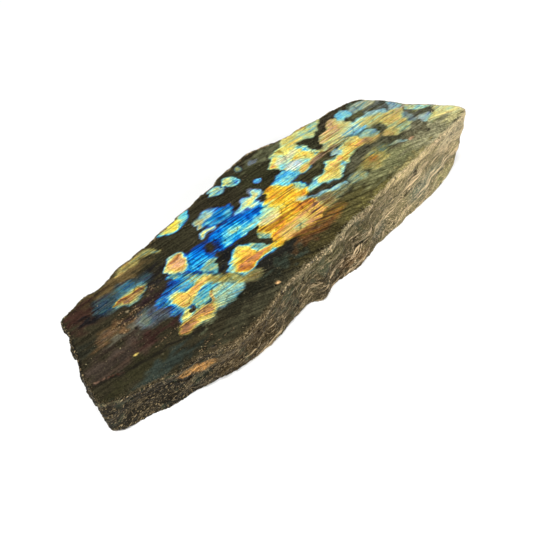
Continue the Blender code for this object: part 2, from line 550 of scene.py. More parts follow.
# the middle
tint((-42, 17), (14, 6), (54, 52, 36), 0.6)
tint((-33, -3), (8, 3), (28, 30, 34), 0.9)
tint((-22, -16), (8, 2.6), (34, 34, 32), 0.8)
tint((-32, -21), (14, 3.4), (40, 40, 30), 0.9)
tint((-20, -20.5), (7, 2.2), (66, 76, 64), 0.7)
tint((-45, -27), (24, 2.4), (70, 68, 50), 0.8)
tint((-8, -25), (14, 2.4), (70, 64, 38), 0.8)
tint((-5, -19), (10, 2.6), (96, 66, 38), 0.8)
tint((4, -24.5), (14, 3), (76, 68, 38), 0.8)
tint((5, 18), (10, 8), (54, 54, 34), 0.8)
tint((20, 26), (12, 3), (108, 110, 80), 0.8)
tint((22, 3), (10, 3), (70, 68, 42), 0.8)
tint((31, 4.5), (5, 1.8), (98, 94, 62), 0.8)
tint((38, 15), (5, 5), (56, 56, 38), 0.95)
# the thick end, paler partly as a painted reflection of the sky
tint((76, 0), (22, 14), (96, 98, 74), 0.85)
tint((28, -8), (14, 2.6), (66, 64, 48), 0.9)
tint((46, -6), (12, 3), (106, 104, 80), 0.8)
tint((45, -12), (9, 3), (122, 118, 74), 0.9)
tint((20, -20), (16, 4), (96, 90, 52), 0.9)
tint((30, -25.5), (18, 2), (128, 120, 68), 0.9)
tint((50, -18), (18, 5), (134, 134, 92), 0.95)
tint((56, -24.5), (12, 2), (172, 160, 104), 0.9)
tint((-53, -19.2), (4, 1.2), (112, 116, 88), 0.8)
tint((80, -20), (18, 4), (166, 162, 124), 0.95)
tint((70, -15), (12, 2.6), (112, 106, 80), 0.8)
tint((74, -11.6), (5, 2.2), (150, 146, 116), 0.8)
tint((54, 20), (7, 2.2), (62, 56, 44), 0.9)
tint((68, 12), (9, 1.8), (90, 88, 56), 0.9)
tint((77, 7), (6, 3.4), (108, 114, 110), 0.9)
tint((63, -1), (3, 2), (66, 68, 40), 0.9)
tint((81, -6), (3, 5), (92, 90, 78), 0.9)
tint((92, -12), (6, 6), (156, 156, 102), 0.8)
tint((97, -20), (8, 6), (196, 188, 132), 0.95)
tint((71, 19), (7, 1.6), (96, 110, 92), 0.8)
print("ground of the face: mean light", ground[face].mean(0).round(3))

# %% [markdown]
# The broken walls are duller and browner. They are tinted in the same way, but in three directions: nearly
# black at the thin end, tan and grey-olive at the thick one. The worn rim of the face counts as wall here.

# %% Ground colours of the walls
WORN_WIDTH = 0.9  # millimetres


def tint_wall(centre, reach, colour, strength=1.0):
    """Stains the walls in a soft round place."""
    far = np.sqrt((((points[wall] - centre) / reach) ** 2).sum(1))
    stain(wall, strength * smoothstep(FADED - far), colour)


wall = np.flatnonzero((under >= WORN_DEPTH) | (rim < WORN_WIDTH))
ground[wall] = linear(68, 60, 40)
tint_wall((-100, 0, 8), (14, 60, 40), (31, 29, 22))
tint_wall((-84, -25, 8), (26, 12, 40), (42, 38, 28), 0.95)
tint_wall((-73, -28, 15.4), (3.8, 8, 1.9), (218, 158, 86), 0.95)
tint_wall((-67.4, -29, 13.8), (3.8, 8, 1.9), (212, 154, 84), 0.95)
tint_wall((-48, -32, 8), (16, 12, 14), (66, 54, 34), 0.9)
tint_wall((-14, -30, 12), (22, 12, 20), (72, 64, 44), 0.9)
tint_wall((78, -26, 14), (52, 14, 40), (128, 118, 82), 0.95)
tint_wall((62, -28, 10), (8, 8, 5), (96, 102, 84), 0.8)
tint_wall((30, -29, 6), (7, 8, 4), (88, 88, 72), 0.8)
tint_wall((-4, -29, 19), (26, 8, 4), (84, 80, 52), 0.8)
tint_wall((4, -31, 4), (16, 10, 4), (62, 52, 36), 0.7)
tint_wall((14, -32, 5), (10, 8, 3), (120, 92, 58), 0.45)
tint_wall((40, -27, 14), (7, 8, 4.5), (154, 140, 102), 0.6)
tint_wall((90, -25, 24), (14, 8, 8), (186, 172, 134), 0.9)
tint_wall((4, -29, 23.8), (12, 6, 1.8), (138, 128, 96), 0.8)
tint_wall((-19, -29, 19.5), (5, 8, 2.4), (128, 118, 88), 0.8)
tint_wall((48, -26, 27), (20, 6, 2.2), (180, 162, 116), 0.8)
tint_wall((74, -27, 11), (16, 8, 3), (108, 114, 92), 0.7)
tint_wall((86, -26, 4), (12, 10, 3), (160, 152, 104), 0.8)
print("ground of the walls: mean light", ground[wall].mean(0).round(3))

# %% [markdown]
# Now the flashes. On the real stone each one is a part of the crystal whose layers have the same thickness,
# so it has a clear edge, and its colour changes slowly inside, as a soap film's does. That is how we build
# them: a flash is a closed outline of a few points, with a few layer values inside. A layer value runs from
# 0, thin and dark blue, to 1, thick and copper red. A shader ramp turns it into a colour, so that rims come
# out blue and green by themselves, wherever a value falls off towards the edge.

# %% How a flash is painted
COVER_REACH = 3.5  # millimetres outside an outline that are still worked out
FAR_OFF = 1e9  # farther than anything here
NOTHING = 1e-3  # a share too small to count
LAYER_CORE = 0.4  # millimetres round a given layer value that have nearly that value
EVEN_FROM, EVEN_SPAN = 20.0, 40.0  # along the stone, where colours begin to fade less at a flash's edge
RIM_FOLLOWS = 0.7  # towards the thick end, how much of the inner colour the rim takes on
FADES_LESS = 0.75  # and by how much less the colours fade there
NARROWEST, VARIES = 0.3, 1.3  # how narrow the rim's band gets, and how much its width varies
EDGE_WAVES = (6, 4, 1)  # millimetres along and across in which it varies
EDGE_SLICE = 3.0


def width_of_edge(x, y):
    """How wide the band of rim colours is at a place, as a share of the width asked for."""
    return max(NARROWEST, 1.0 + VARIES * noise.noise(shrunk((x, y, EDGE_SLICE), EDGE_WAVES)))


cover = np.full(len(points), -1.0)  # -1 outside all flashes, 0 on an outline, 1 well inside one
deepest = np.full(len(points), -FAR_OFF)  # how far inside its flash a point is, in millimetres
layer, glow, sheen, lines = np.zeros((4, len(points)))
fine_wandering = wandered(face, streaky=1.3, wavy=0.9)
edge_width = np.array([width_of_edge(x, y) for x, y, _ in points[face]])


def smooth_loop(corners, cuts=5):
    """A closed curve through the corners."""
    p = np.array(corners, float)
    before, after, beyond = np.roll(p, 1, 0), np.roll(p, -1, 0), np.roll(p, -2, 0)
    pieces = []
    for cut in range(cuts):
        t = cut / cuts
        turn = (after - before) * t + (2 * before - 5 * p + 4 * after - beyond) * t**2
        pieces.append(p + 0.5 * (turn + (3 * p - before - 3 * after + beyond) * t**3))
    return np.stack(pieces, 1).reshape(-1, 2)


def from_side(places, start, end):
    """How far each place is from a straight side."""
    side = end - start
    share = np.clip((places - start) @ side / max(side @ side, 1 / FAR_OFF), 0, 1)
    return np.hypot(*(places - start - share[:, None] * side).T)


def inside_by(places, loop):
    """How far each place is inside the loop, in millimetres; negative outside."""
    nearest = np.full(len(places), FAR_OFF)
    inside = np.zeros(len(places), bool)
    for start, end in zip(loop, np.roll(loop, -1, 0)):
        nearest = np.minimum(nearest, from_side(places, start, end))
        run, rise = end - start
        crosses = (start[1] > places[:, 1]) != (end[1] > places[:, 1])
        crossing = start[0] + (places[:, 1] - start[1]) * run / (rise or 1.0)  # a level side is never crossed
        inside ^= crosses & (places[:, 0] < crossing)
    return np.where(inside, nearest, -nearest)


def reached_by(outline):
    """Which points of the face an outline can reach, where they are, and how far inside it."""
    loop = smooth_loop(outline)
    low, high = loop.min(0) - COVER_REACH, loop.max(0) + COVER_REACH
    places = fine_wandering[:, :2]
    reached = np.flatnonzero(((places > low) & (places < high)).all(1))
    return reached, places[reached], inside_by(places[reached], loop)


def between(places, layers):
    """The layer value at each place: the mean of the given ones, near ones counting most."""
    weights = [1.0 / (np.hypot(places[:, 0] - x, places[:, 1] - y) + LAYER_CORE) ** 3 for x, y, _ in layers]
    values = [value for _, _, value in layers]
    return np.average(np.tile(values, (len(places), 1)), axis=1, weights=np.column_stack(weights))


def flash(outline, layers, bright=0.92, pale=0.0, soft=0.4, rim_layer=0.36, rim_width=0.9, lined=0.4,
          halo=1.2, fade=0.8):
    """Paints one flash: a closed outline, and layer values inside it as (x, y, value).

    It glows as bright as told, under a pale sheen that is a painted reflection of the bright sky, as strong
    as pale says. Its edge is soft on the inside and has a halo outside. At the rim the layers have a value of
    their own, over a width, and then fade. Dark lines cut it up.
    """
    reached, places, depth = reached_by(outline)
    which = face[reached]
    covers = np.clip(np.where(depth > 0, depth / soft, depth / halo), -1, 1)
    inner = between(places, layers)
    even = smoothstep((places[:, 0] - EVEN_FROM) / EVEN_SPAN)
    outer = rim_layer + (inner - rim_layer) * RIM_FOLLOWS * even
    value = outer + (inner - outer) * smoothstep(depth / (rim_width * edge_width[reached]))
    thinner = 1.0 + fade * (1.0 - FADES_LESS * even) * depth / halo  # outside, the layers get thinner
    value *= np.clip(thinner, 0.1, 1.0)
    weight = smoothstep((covers + 1) / 2)
    older = (1 - weight) * smoothstep((cover[which] + 1) / 2)
    either = weight + older
    share = np.where(either > NOTHING, weight / np.maximum(either, NOTHING), depth > deepest[which])
    for field, new in ((layer, value), (glow, bright), (sheen, pale), (lines, lined)):
        field[which] += (new - field[which]) * share
    cover[which] = np.maximum(cover[which], covers)
    deepest[which] = np.maximum(deepest[which], depth)


def island(outline, soft=0.4):
    """Takes a dark place out of the flashes painted so far."""
    reached, _, depth = reached_by(outline)
    which = face[reached]
    cover[which] = np.minimum(cover[which], np.clip(-depth / soft, -1, 1))

# %% [markdown]
# The flashes of the thin end are dull and streaky: a blue veil, copper streaks, and one fan of gold, teal
# and mint whose layers are bent.

# %% Flashes of the thin end
flash([(-80, 12), (-79, 14.6), (-77, 16), (-72, 15.4), (-67, 15.8), (-62, 13.6), (-58, 12), (-61, 10.6),
       (-66, 11.2), (-71, 10.8), (-76, 9.8)],
      [(-78, 13, 0.3), (-73, 13.5, 0.33), (-64, 13.6, 0.33), (-60, 12, 0.24)],
      bright=0.075, pale=0.1, soft=2.4, rim_layer=0.33, lined=0.5, halo=2.4, fade=0.1)
flash([(-71.6, 12.2), (-69.4, 14.6), (-66.4, 15.6), (-63.8, 13.8), (-64.6, 12.4), (-68, 12.6)],
      [(-69.6, 13, 0.38), (-66, 14, 0.32)],
      bright=0.22, soft=1.6, rim_layer=0.32, lined=0.5, halo=1.6, fade=0.1)
flash([(-74.4, 9.8), (-72.4, 10.9), (-69.6, 11.5), (-67, 12.2), (-64.4, 11.6), (-62, 10.8), (-60.8, 9.6),
       (-62.4, 8.4), (-65, 7.6), (-68, 7.2), (-70.6, 7.4), (-72, 8.6)],
      [(-70, 10, 0.84), (-67, 11.4, 0.62), (-63, 9.6, 0.8), (-66, 7.8, 0.74), (-71, 7.2, 0.8),
       (-61.4, 10.6, 0.5)],
      bright=0.52, pale=0.16, soft=1.5, rim_layer=0.5, rim_width=0.7, lined=0.7, fade=0.5)
flash([(-74.4, 11), (-70, 10.8), (-63.4, 9.8), (-63.4, 9.3), (-70, 10), (-74.4, 10.4)], [(-70, 10.4, 1)],
      bright=0.6, soft=0.3, rim_layer=0.98, lined=0.3, halo=0.5, fade=0)
flash([(-88, 2.2), (-85, 4.4), (-82, 4.4), (-79, 2.4), (-81, 0.6), (-85, 1)], [(-84, 3, 0.9)],
      bright=0.12, pale=0.2, soft=1.8, rim_layer=0.8, lined=0.8, fade=0.1)
flash([(-73.4, -1.4), (-70.6, 0.4), (-66, -0.4), (-63.6, -3), (-65, -5.6), (-69, -5.2), (-72.6, -4.2)],
      [(-72, -3, 0.44), (-67, -3, 0.26), (-65, -5, 0.2)],
      bright=0.12, pale=0.3, soft=2.6, rim_layer=0.3, lined=0.4, halo=2.4, fade=0.1)
flash([(-66, 20.8), (-62, 22.2), (-57, 22.8), (-53, 22.8), (-50, 21.2), (-48, 19), (-48.6, 17.8),
       (-51, 19.6), (-55, 20.6), (-60, 20.4)],
      [(-62, 21.2, 0.68), (-56, 21.8, 0.64), (-52, 21, 0.56), (-48.8, 18.8, 0.46)],
      bright=0.32, pale=0.15, soft=1.4, rim_layer=0.6, lined=0.7, fade=0.1)
# the bent fan: its blue and teal ground, then gold, copper, mint and olive on it
flash([(-65, -2), (-63.6, 0.5), (-60.4, 1.4), (-57, 2.8), (-54, 3.6), (-51, 3.4), (-48.2, 2.4),
       (-45.8, -0.8), (-44, -3.4), (-42, -6), (-41, -9), (-44, -10), (-50, -9.6), (-56, -10), (-60, -9.8),
       (-62.4, -8.4), (-63.6, -6.2), (-61.8, -4.6)],
      [(-63, -1.4, 0.26), (-62, -7, 0.22), (-57, 1.4, 0.16), (-53, 2.2, 0.2), (-52, 0.2, 0.33),
       (-48, -1.6, 0.42), (-60.6, -5, 0.34)], bright=0.72, soft=0.9, rim_layer=0.2, rim_width=1, lined=0.9)
flash([(-60.6, -3.8), (-59.6, -1.4), (-57.6, -0.3), (-55.4, -0.9), (-53.6, -3.2), (-50.6, -4), (-48, -2.9),
       (-45.6, -2.5), (-43.4, -4), (-41.6, -6.6), (-42.6, -8.4), (-45, -7.2), (-48.4, -6.9), (-51, -7.6),
       (-53.8, -9), (-57, -9), (-59.8, -7.6)],
      [(-57, -4, 0.68), (-55, -7, 0.7), (-57.4, -1.6, 0.72), (-50, -5.4, 0.71), (-46, -4, 0.64),
       (-43.4, -6, 0.6)], bright=0.9, pale=0.1, soft=0.7, rim_layer=0.46, rim_width=1.2, lined=0.6, fade=0.6)
flash([(-63.8, -12.4), (-61.6, -10), (-59.2, -8.6), (-57.6, -9.6), (-58.6, -11.8), (-60.6, -12.8)],
      [(-61, -11, 0.58)], bright=0.8, pale=0.1, rim_layer=0.4, rim_width=0.7)
flash([(-65.6, -14.4), (-63.6, -12.9), (-61, -13.2), (-58, -12.6), (-54.6, -12.6), (-52, -13.8),
       (-49.4, -15.6), (-51.6, -17), (-55, -17.6), (-57.6, -17.8), (-60, -16.9), (-62.6, -16.4),
       (-64.8, -17.2), (-65.8, -16)],
      [(-64, -14.2, 0.86), (-61, -15, 0.82), (-56, -15.2, 0.82), (-52, -15.6, 0.78), (-57, -17.2, 0.66),
       (-64.6, -16.4, 0.74), (-58, -13.4, 0.7)],
      bright=0.7, pale=0.12, soft=1.1, rim_layer=0.58, rim_width=0.9, lined=0.9, fade=0.3)
flash([(-66, -14.8), (-63.6, -13), (-61.6, -14), (-62, -16.2), (-65, -17)], [(-64, -15, 0.86)],
      bright=0.5, pale=0.1, soft=1.2, rim_layer=0.8, lined=0.9, halo=0.8, fade=0)
flash([(-56, -9.4), (-52.8, -9), (-50.4, -7.8), (-48, -7.2), (-45.6, -7.2), (-45.4, -8.6), (-48.4, -10.2),
       (-51, -11.6), (-53.6, -12.1), (-56, -11.2)],
      [(-47.5, -8, 0.34), (-50, -9.4, 0.38), (-53, -10.6, 0.43)],
      bright=0.62, rim_layer=0.43, rim_width=0.6, lined=0.25)
flash([(-51.2, -14.8), (-48.8, -11.9), (-46, -10.1), (-43.4, -10.6), (-41.2, -12.4), (-39.3, -14.6),
       (-37.6, -15.9), (-39.2, -16.9), (-41, -17.8), (-43, -18.6), (-45, -18.2), (-47.4, -17.8),
       (-49.4, -18), (-51, -17)],
      [(-47, -13, 0.44), (-43, -14, 0.45), (-50, -16, 0.56), (-46, -17, 0.46), (-42, -18, 0.42),
       (-44.6, -10.8, 0.54)],
      bright=0.68, pale=0.16, soft=2.8, rim_layer=0.42, rim_width=1, lined=0.5, halo=1.5, fade=0.2)
flash([(-52.8, -14.4), (-50.2, -12.2), (-47, -10), (-46.8, -10.3), (-49.8, -12.7), (-52.6, -14.8)],
      [(-50, -12.5, 0.92)], bright=0.6, pale=0.2, soft=0.3, rim_layer=0.8, rim_width=0.3, halo=0.4)
flash([(-45, -5.2), (-42.6, -5.4), (-40.4, -8), (-38.2, -10.2), (-36.4, -12.6), (-35.4, -15), (-38, -15.4),
       (-40, -13), (-42, -11), (-44.2, -9.2)], [(-43, -7, 0.62), (-39, -11, 0.6)],
      bright=0.36, pale=0.1, soft=1.3, rim_layer=0.58, lined=0.7, fade=0.1)
flash([(-36.4, -14.4), (-33, -14.6), (-30.2, -15.2), (-29.6, -17), (-32.4, -18.1), (-35, -17.4)],
      [(-33, -16.4, 0.62)], bright=0.17, pale=0.25, soft=1.8, rim_layer=0.6, lined=0.6, halo=1.8, fade=0.1)
flash([(-45, 0.6), (-42, 1.6), (-38.4, 1.4), (-36.6, -0.6), (-37.6, -3), (-38.8, -5.2), (-41, -5.2),
       (-43.2, -2.6)], [(-41, -1, 0.45), (-40, -4, 0.44)],
      bright=0.55, pale=0.05, soft=1, rim_layer=0.36, rim_width=0.6, lined=0.3)
flash([(-54.2, 6.2), (-52.6, 5.8), (-50.6, 3.8), (-49.2, 2.4), (-51.4, 2.5), (-53.6, 4.2)],
      [(-52, 4.2, 0.42)], bright=0.5, rim_layer=0.34, lined=0.6)
island([(-58.9, -11.6), (-57.6, -10), (-55.9, -9.7), (-56.2, -10.9), (-57.6, -11.9)], soft=0.3)
print("thin end:", int((cover > 0).sum()), "points flash")

# %% [markdown]
# The middle carries the strongest flashes: a round copper eye, a deep blue band that ends in cyan and mint,
# and a wide fan of gold. Dark islands, where the layers lie at another angle, cut into them.

# %% Flashes of the middle
flash([(-43.8, 25.6), (-40.5, 27.5), (-34, 27.5), (-28.4, 26.4), (-28.9, 24.2), (-30.8, 22.7), (-34.4, 21.6),
       (-37, 20.9), (-39.6, 21.6), (-41.8, 23.2)],
      [(-38, 24.6, 0.62), (-34.6, 24.6, 0.64), (-41.6, 24.8, 0.54), (-31, 24.4, 0.36), (-29.6, 25, 0.31),
       (-36.5, 22.8, 0.6)], rim_layer=0.38, rim_width=1.1, lined=0.45)
flash([(-48, 4.6), (-46.8, 1), (-44.4, 0.1), (-41, 1.3), (-37, 1.3), (-34, 1.8), (-31.6, 0.2), (-28, -0.2),
       (-25.4, 0.6), (-22.6, -0.6), (-18.4, -1), (-14, -0.8), (-9, -0.4), (-5.2, -0.2), (-5.2, 5.8),
       (-8.4, 7), (-11.4, 7.6), (-14, 8.7), (-18, 9.7), (-22, 9.4), (-26, 9.5), (-30, 8.8), (-33, 8),
       (-37, 8.9), (-41, 8.8), (-43.6, 9.2), (-45, 6.6)],
      [(-45, 4, 0.29), (-41, 5, 0.26), (-38.4, 5, 0.23), (-35, 5, 0.08), (-32.6, 6.6, 0.14), (-33, 2.6, 0.1),
       (-29.4, 6.6, 0.2), (-29, 3, 0.36), (-26, 4.4, 0.38), (-24, 4.2, 0.46), (-26, 8.2, 0.2),
       (-21.6, 4.4, 0.45), (-19.4, 6.4, 0.33), (-21, 8.6, 0.19), (-17, 7.4, 0.18), (-17.4, 5.4, 0.19),
       (-14, 6, 0.16), (-14, 4.2, 0.18), (-10.6, 5.4, 0.17), (-9.6, 3.4, 0.2), (-7.2, 4.4, 0.22),
       (-12.6, 0.8, 0.46), (-8, 0.8, 0.48), (-16.4, 1.4, 0.45), (-20, 1.4, 0.44), (-24.6, 1.4, 0.32),
       (-6, 1.4, 0.46), (-12, 2.4, 0.3)], bright=0.96, soft=0.5, rim_layer=0.2, rim_width=0.7, lined=0.35)
flash([(-52.8, 8.6), (-52.4, 6.8), (-51.2, 5.2), (-49.4, 4.1), (-47.2, 4.2), (-45.2, 6), (-43.8, 8),
       (-43.3, 10.2), (-44.6, 11.9), (-47.4, 12.4), (-50, 11.8), (-51.6, 10.4)],
      [(-48, 7, 0.81), (-46, 9, 0.8), (-50, 8, 0.76), (-47.4, 11, 0.84), (-52, 8, 0.62)],
      bright=0.92, pale=0.2, rim_layer=0.52, rim_width=1.3, lined=0.35, halo=0.9)
flash([(-50.6, 10.5), (-47.8, 11.1), (-44.6, 10.9), (-44.6, 10.2), (-47.8, 10.2), (-50.6, 9.8)],
      [(-48, 10.5, 0.97)], bright=0.8, soft=0.4, rim_layer=0.92, lined=0.4, halo=0.6, fade=0)
flash([(-30.4, 15), (-30, 18.6), (-27.4, 19.1), (-25.6, 18.3), (-23.4, 18.6), (-20.6, 17.6), (-22.4, 16.5),
       (-25.2, 16.5), (-27.4, 15.8), (-28.8, 14.8)], [(-28.6, 17, 0.6), (-24, 17.4, 0.54)],
      bright=0.62, pale=0.3, rim_layer=0.46, rim_width=0.6, lined=0.8)
flash([(-28.6, 14.4), (-26.2, 16.2), (-22.4, 16.8), (-19.6, 18.4), (-17.6, 17), (-16, 15.4), (-13.8, 15.4),
       (-15.2, 12.4), (-16, 10.7), (-19, 10.3), (-22.4, 10.7), (-25.2, 11.8), (-27.4, 13)],
      [(-24, 14, 0.3), (-20, 13.4, 0.24), (-22, 11.8, 0.3), (-25.6, 13, 0.36), (-19, 16.4, 0.2),
       (-16.2, 11.8, 0.4), (-15, 14.6, 0.22)],
      bright=0.9, soft=0.7, rim_layer=0.2, rim_width=0.8, lined=0.75)
flash([(-26.4, 19.3), (-23.4, 20.2), (-20.6, 19.2), (-19, 17.5), (-21.2, 17.6), (-23.8, 18.8)],
      [(-24.6, 19.6, 0.45), (-20.4, 18.2, 0.26)],
      bright=0.8, pale=0.15, rim_layer=0.32, rim_width=0.5, lined=0.6)
flash([(-33.2, 10.7), (-31.8, 12.5), (-29.4, 12.7), (-26.4, 11.3), (-27, 10.6), (-29, 11.2), (-31, 11.2)],
      [(-30, 12, 0.56)], bright=0.85, pale=0.2, soft=0.3, rim_layer=0.34, rim_width=0.5, lined=0.5)
flash([(-15.5, 25.5), (-13.8, 27), (-11.2, 27.1), (-9.1, 26), (-9.2, 24.4), (-10.2, 23.2), (-12, 22.5),
       (-13.8, 23.6), (-15.2, 24.6)],
      [(-12.6, 25.8, 0.54), (-10.4, 25.6, 0.55), (-11.6, 23.4, 0.3), (-14.4, 24.4, 0.38)],
      bright=0.76, pale=0.14, soft=0.7, rim_layer=0.45, rim_width=0.7, lined=0.6)
flash([(-7.8, 25.2), (-6.2, 27), (-4, 27.5), (-2, 26.8), (-1.1, 25.2), (-1.5, 22.8), (-3.2, 21.7),
       (-5.4, 22.1), (-6.8, 23.6)],
      [(-5, 25.6, 0.61), (-6.6, 24.6, 0.58), (-4, 26.8, 0.57), (-2.2, 25.2, 0.36), (-3, 22.8, 0.25),
       (-5.6, 23, 0.42)],
      bright=0.93, pale=0.1, rim_layer=0.46, rim_width=0.5, lined=0.2, halo=0.8, fade=0.4)
flash([(1.5, 16.8), (2.5, 17.7), (4.2, 17.6), (5, 16.6), (4.1, 15.5), (2.5, 15.4)], [(3, 16.6, 0.33)],
      bright=0.95, pale=0.1, rim_layer=0.3, rim_width=0.6, lined=0.2, halo=0.6)
flash([(8.8, 25.8), (10.2, 27.1), (12.2, 27), (13.2, 26.2), (11.4, 25.6)], [(11, 26.4, 0.28)],
      bright=0.34, pale=0.35, soft=0.6, rim_layer=0.28, rim_width=0.6)
flash([(2.4, 26.6), (3, 28.4), (4.4, 28.2), (4.6, 26.8)], [(3.5, 27.4, 0.56)],
      bright=0.3, pale=0.2, soft=1, rim_layer=0.5)
flash([(-4, 14.8), (-3, 16), (-1.8, 15), (-3, 14)], [(-3, 15, 0.2)],
      bright=0.3, pale=0.3, soft=1, rim_layer=0.2)
flash([(-15.8, 9.6), (-14, 10.5), (-11.6, 11.7), (-9.8, 13.2), (-8.2, 14), (-6.4, 12.8), (-4.4, 13),
       (-2.8, 14.2), (-1, 13.6), (0.1, 12.2), (-0.3, 10.8), (-2, 10.1), (-4.4, 9.7), (-4.8, 8), (-5.4, 6.4),
       (-7.5, 7.2), (-9.5, 7.8), (-11.5, 8.5), (-13.6, 8.7)],
      [(-8, 10.4, 0.56), (-3.6, 11.4, 0.56), (-0.8, 12.4, 0.36), (-8.6, 13, 0.36), (-13.4, 9.6, 0.37),
       (-6, 8, 0.46), (-11, 10, 0.45)],
      bright=0.9, pale=0.2, soft=0.4, rim_layer=0.33, rim_width=0.8, lined=0.35)
# the disc beside the dark island, and the teal ring round the island
flash([(-24.8, -3.4), (-22, -4.4), (-19, -3), (-16.6, -1.6), (-14, -4), (-13.6, -8), (-15, -11), (-19, -12),
       (-23, -11.4), (-24.8, -7)], [(-22.6, -6, 0.44), (-20.6, -8.6, 0.4), (-16, -4, 0.46)],
      bright=0.5, pale=0.05, soft=0.9, rim_layer=0.36, lined=0.7)
flash([(-37.4, -8.4), (-35.4, -6.6), (-33.2, -5), (-31.2, -3.4), (-28.6, -2.6), (-26.8, -3), (-25.2, -4.4),
       (-24.2, -6), (-23.8, -8), (-23.2, -9.8), (-20, -10.8), (-16, -11.4), (-15, -13.2), (-20, -13.7),
       (-24, -13.3), (-27, -13.2), (-30, -13.8), (-33, -13.8), (-34.8, -13.3), (-36.2, -11.8),
       (-37.2, -10.2)],
      [(-29, -5, 0.67), (-27, -7.4, 0.72), (-31, -8, 0.72), (-28, -10, 0.81), (-32, -12, 0.88),
       (-25, -12, 0.84), (-20, -12, 0.8), (-36.6, -8.4, 0.42), (-33, -5.2, 0.52), (-24.8, -4.8, 0.55)],
      bright=0.95, pale=0.05, rim_layer=0.36, rim_width=0.9, lined=0.55)
flash([(-36.4, -11.2), (-34, -11.2), (-30, -12.1), (-26, -12.2), (-26, -12.8), (-30, -13.3), (-34, -13)],
      [(-34, -12, 0.9), (-28, -12.6, 0.85)],
      bright=0.74, soft=0.6, rim_layer=0.86, lined=0.6, halo=0.6, fade=0)
# the gold fan: an upper lobe, and streaks that fade out below
flash([(-15.4, -1.4), (-13.4, 0), (-10, 0.9), (-6.4, 1.6), (-6, 4.6), (-4.6, 5.8), (-2.4, 6.3), (-0.6, 7.8),
       (0.3, 9.2), (2, 10), (4, 10.3), (5.4, 9.8), (6.6, 8.2), (8.6, 6), (10.4, 4.4), (12.8, 2.8),
       (13.8, 0.8), (13.2, -1.2), (13.2, -3), (10, -4), (7.4, -4.4), (9, -6.2), (10.6, -7.4), (10.8, -9.2),
       (9.6, -11.2), (9.4, -13.2), (7.6, -15.2), (4.6, -16.4), (0, -16.6), (-4, -15.6), (-9, -14.6),
       (-14, -14.1), (-18, -13.6), (-18.6, -12), (-16.6, -10.2), (-15, -7.6), (-15.6, -5.6), (-17, -3.8)],
      [(2, 8, 0.74), (0, 5, 0.76), (4.6, 3, 0.71), (8, 3, 0.69), (10.6, 3.6, 0.62), (-3, 4.2, 0.6),
       (-5, 3.6, 0.5), (-2, 0, 0.66), (-8, -0.4, 0.58), (-12, -1, 0.64), (-13.4, -5, 0.8), (-8, -7, 0.84),
       (-3, -5, 0.72), (3, -3, 0.7), (3, -7, 0.8), (8, -8.2, 0.88), (-5, -10.4, 0.7), (-12, -11.6, 0.77),
       (0, -12, 0.72), (5, -11, 0.76), (8, -14, 0.8), (8, 0, 0.71), (10.6, -2.4, 0.8), (13, 0.8, 0.43),
       (12, 2.4, 0.46), (10.6, -10.4, 0.78), (-14.6, -6.6, 0.66)],
      bright=0.96, pale=0, soft=0.9, rim_layer=0.7, rim_width=0.9, lined=0.9, halo=1, fade=0.1)
flash([(-12.6, -10.6), (-8, -9.8), (0, -9.6), (8, -9.6), (10.6, -11.2), (9.2, -13.2), (6, -15.4), (0, -16.4),
       (-9, -14.6), (-12.6, -13.8)],
      [(-13, -11.8, 0.8), (-5, -10.6, 0.74), (0, -12.4, 0.6), (-4, -13.4, 0.58), (5, -11, 0.78),
       (7, -13.6, 0.8), (1, -15, 0.76)],
      bright=0.76, pale=0.2, soft=1.6, rim_layer=0.7, lined=1, halo=1.6, fade=0.1)
flash([(2, -9.6), (8, -9.4), (12, -10.4), (15, -11.8), (12, -13.2), (8, -15), (2, -15.6)],
      [(4, -11, 0.74), (9, -11, 0.8), (12, -12, 0.84), (6, -14, 0.78)],
      bright=0.8, pale=0.1, soft=3, rim_layer=0.78, lined=1, halo=2.6, fade=0.05)
flash([(11, -8.4), (16, -9.2), (21, -10.6), (25.4, -11.6), (26.2, -13.8), (22, -14.2), (17, -14.4),
       (11, -15)], [(14, -11, 0.66), (19, -12, 0.58), (23, -12.6, 0.54), (14, -14, 0.74)],
      bright=0.22, pale=0.3, soft=1.6, rim_layer=0.56, lined=0.95, halo=1.8, fade=0.1)
flash([(-14, -1.2), (-10, 0.4), (-6, 0.6), (-4, -1.4), (-7, -3.4), (-11, -3.2)], [(-9, -1, 0.64)],
      bright=0.95, pale=0.46, soft=1.6, rim_layer=0.64, lined=0.5, fade=0)
flash([(-17, 2), (-10, 2.4), (-4.8, 2.2), (-4.2, 0.4), (-9, -0.1), (-16, -0.5)],
      [(-14, 0.8, 0.42), (-8, 0.8, 0.45)],
      bright=0.92, pale=0.06, soft=0.8, rim_layer=0.44, lined=0.5, halo=0.6, fade=0.3)
flash([(-9, 3.6), (-6.6, 4.8), (-5, 4.6), (-4.8, 2.6), (-6, 1.8), (-9, 2.2)],
      [(-7, 3, 0.36), (-5.4, 3.4, 0.43)],
      bright=0.92, soft=0.7, rim_layer=0.4, lined=0.3, halo=0.7, fade=0.2)
flash([(11.6, 3.8), (13.4, 2.8), (14.6, 0.8), (14, -0.8), (12.6, 0), (11.4, 2)], [(12.8, 1.6, 0.44)],
      bright=0.82, soft=0.6, rim_layer=0.38, lined=0.3)
flash([(8, -5.2), (12, -6.4), (16, -8), (21, -9.8), (26.2, -11.1), (26, -11.9), (20, -10.7), (15, -9.1),
       (11, -7.2)], [(10, -6, 0.4), (16, -8.4, 0.44), (22, -10.4, 0.38), (26, -11.4, 0.34)],
      bright=0.66, pale=0.3, soft=0.4, rim_layer=0.38, halo=0.6)
flash([(-10, -15.4), (-2, -16.4), (4, -17.4), (12, -17), (16, -18.6), (8, -20.4), (0, -19.6), (-6, -17.6)],
      [(0, -18, 0.84), (10, -18.6, 0.8)], bright=0.2, soft=2.2, rim_layer=0.8, lined=0.95, halo=2.6, fade=0)
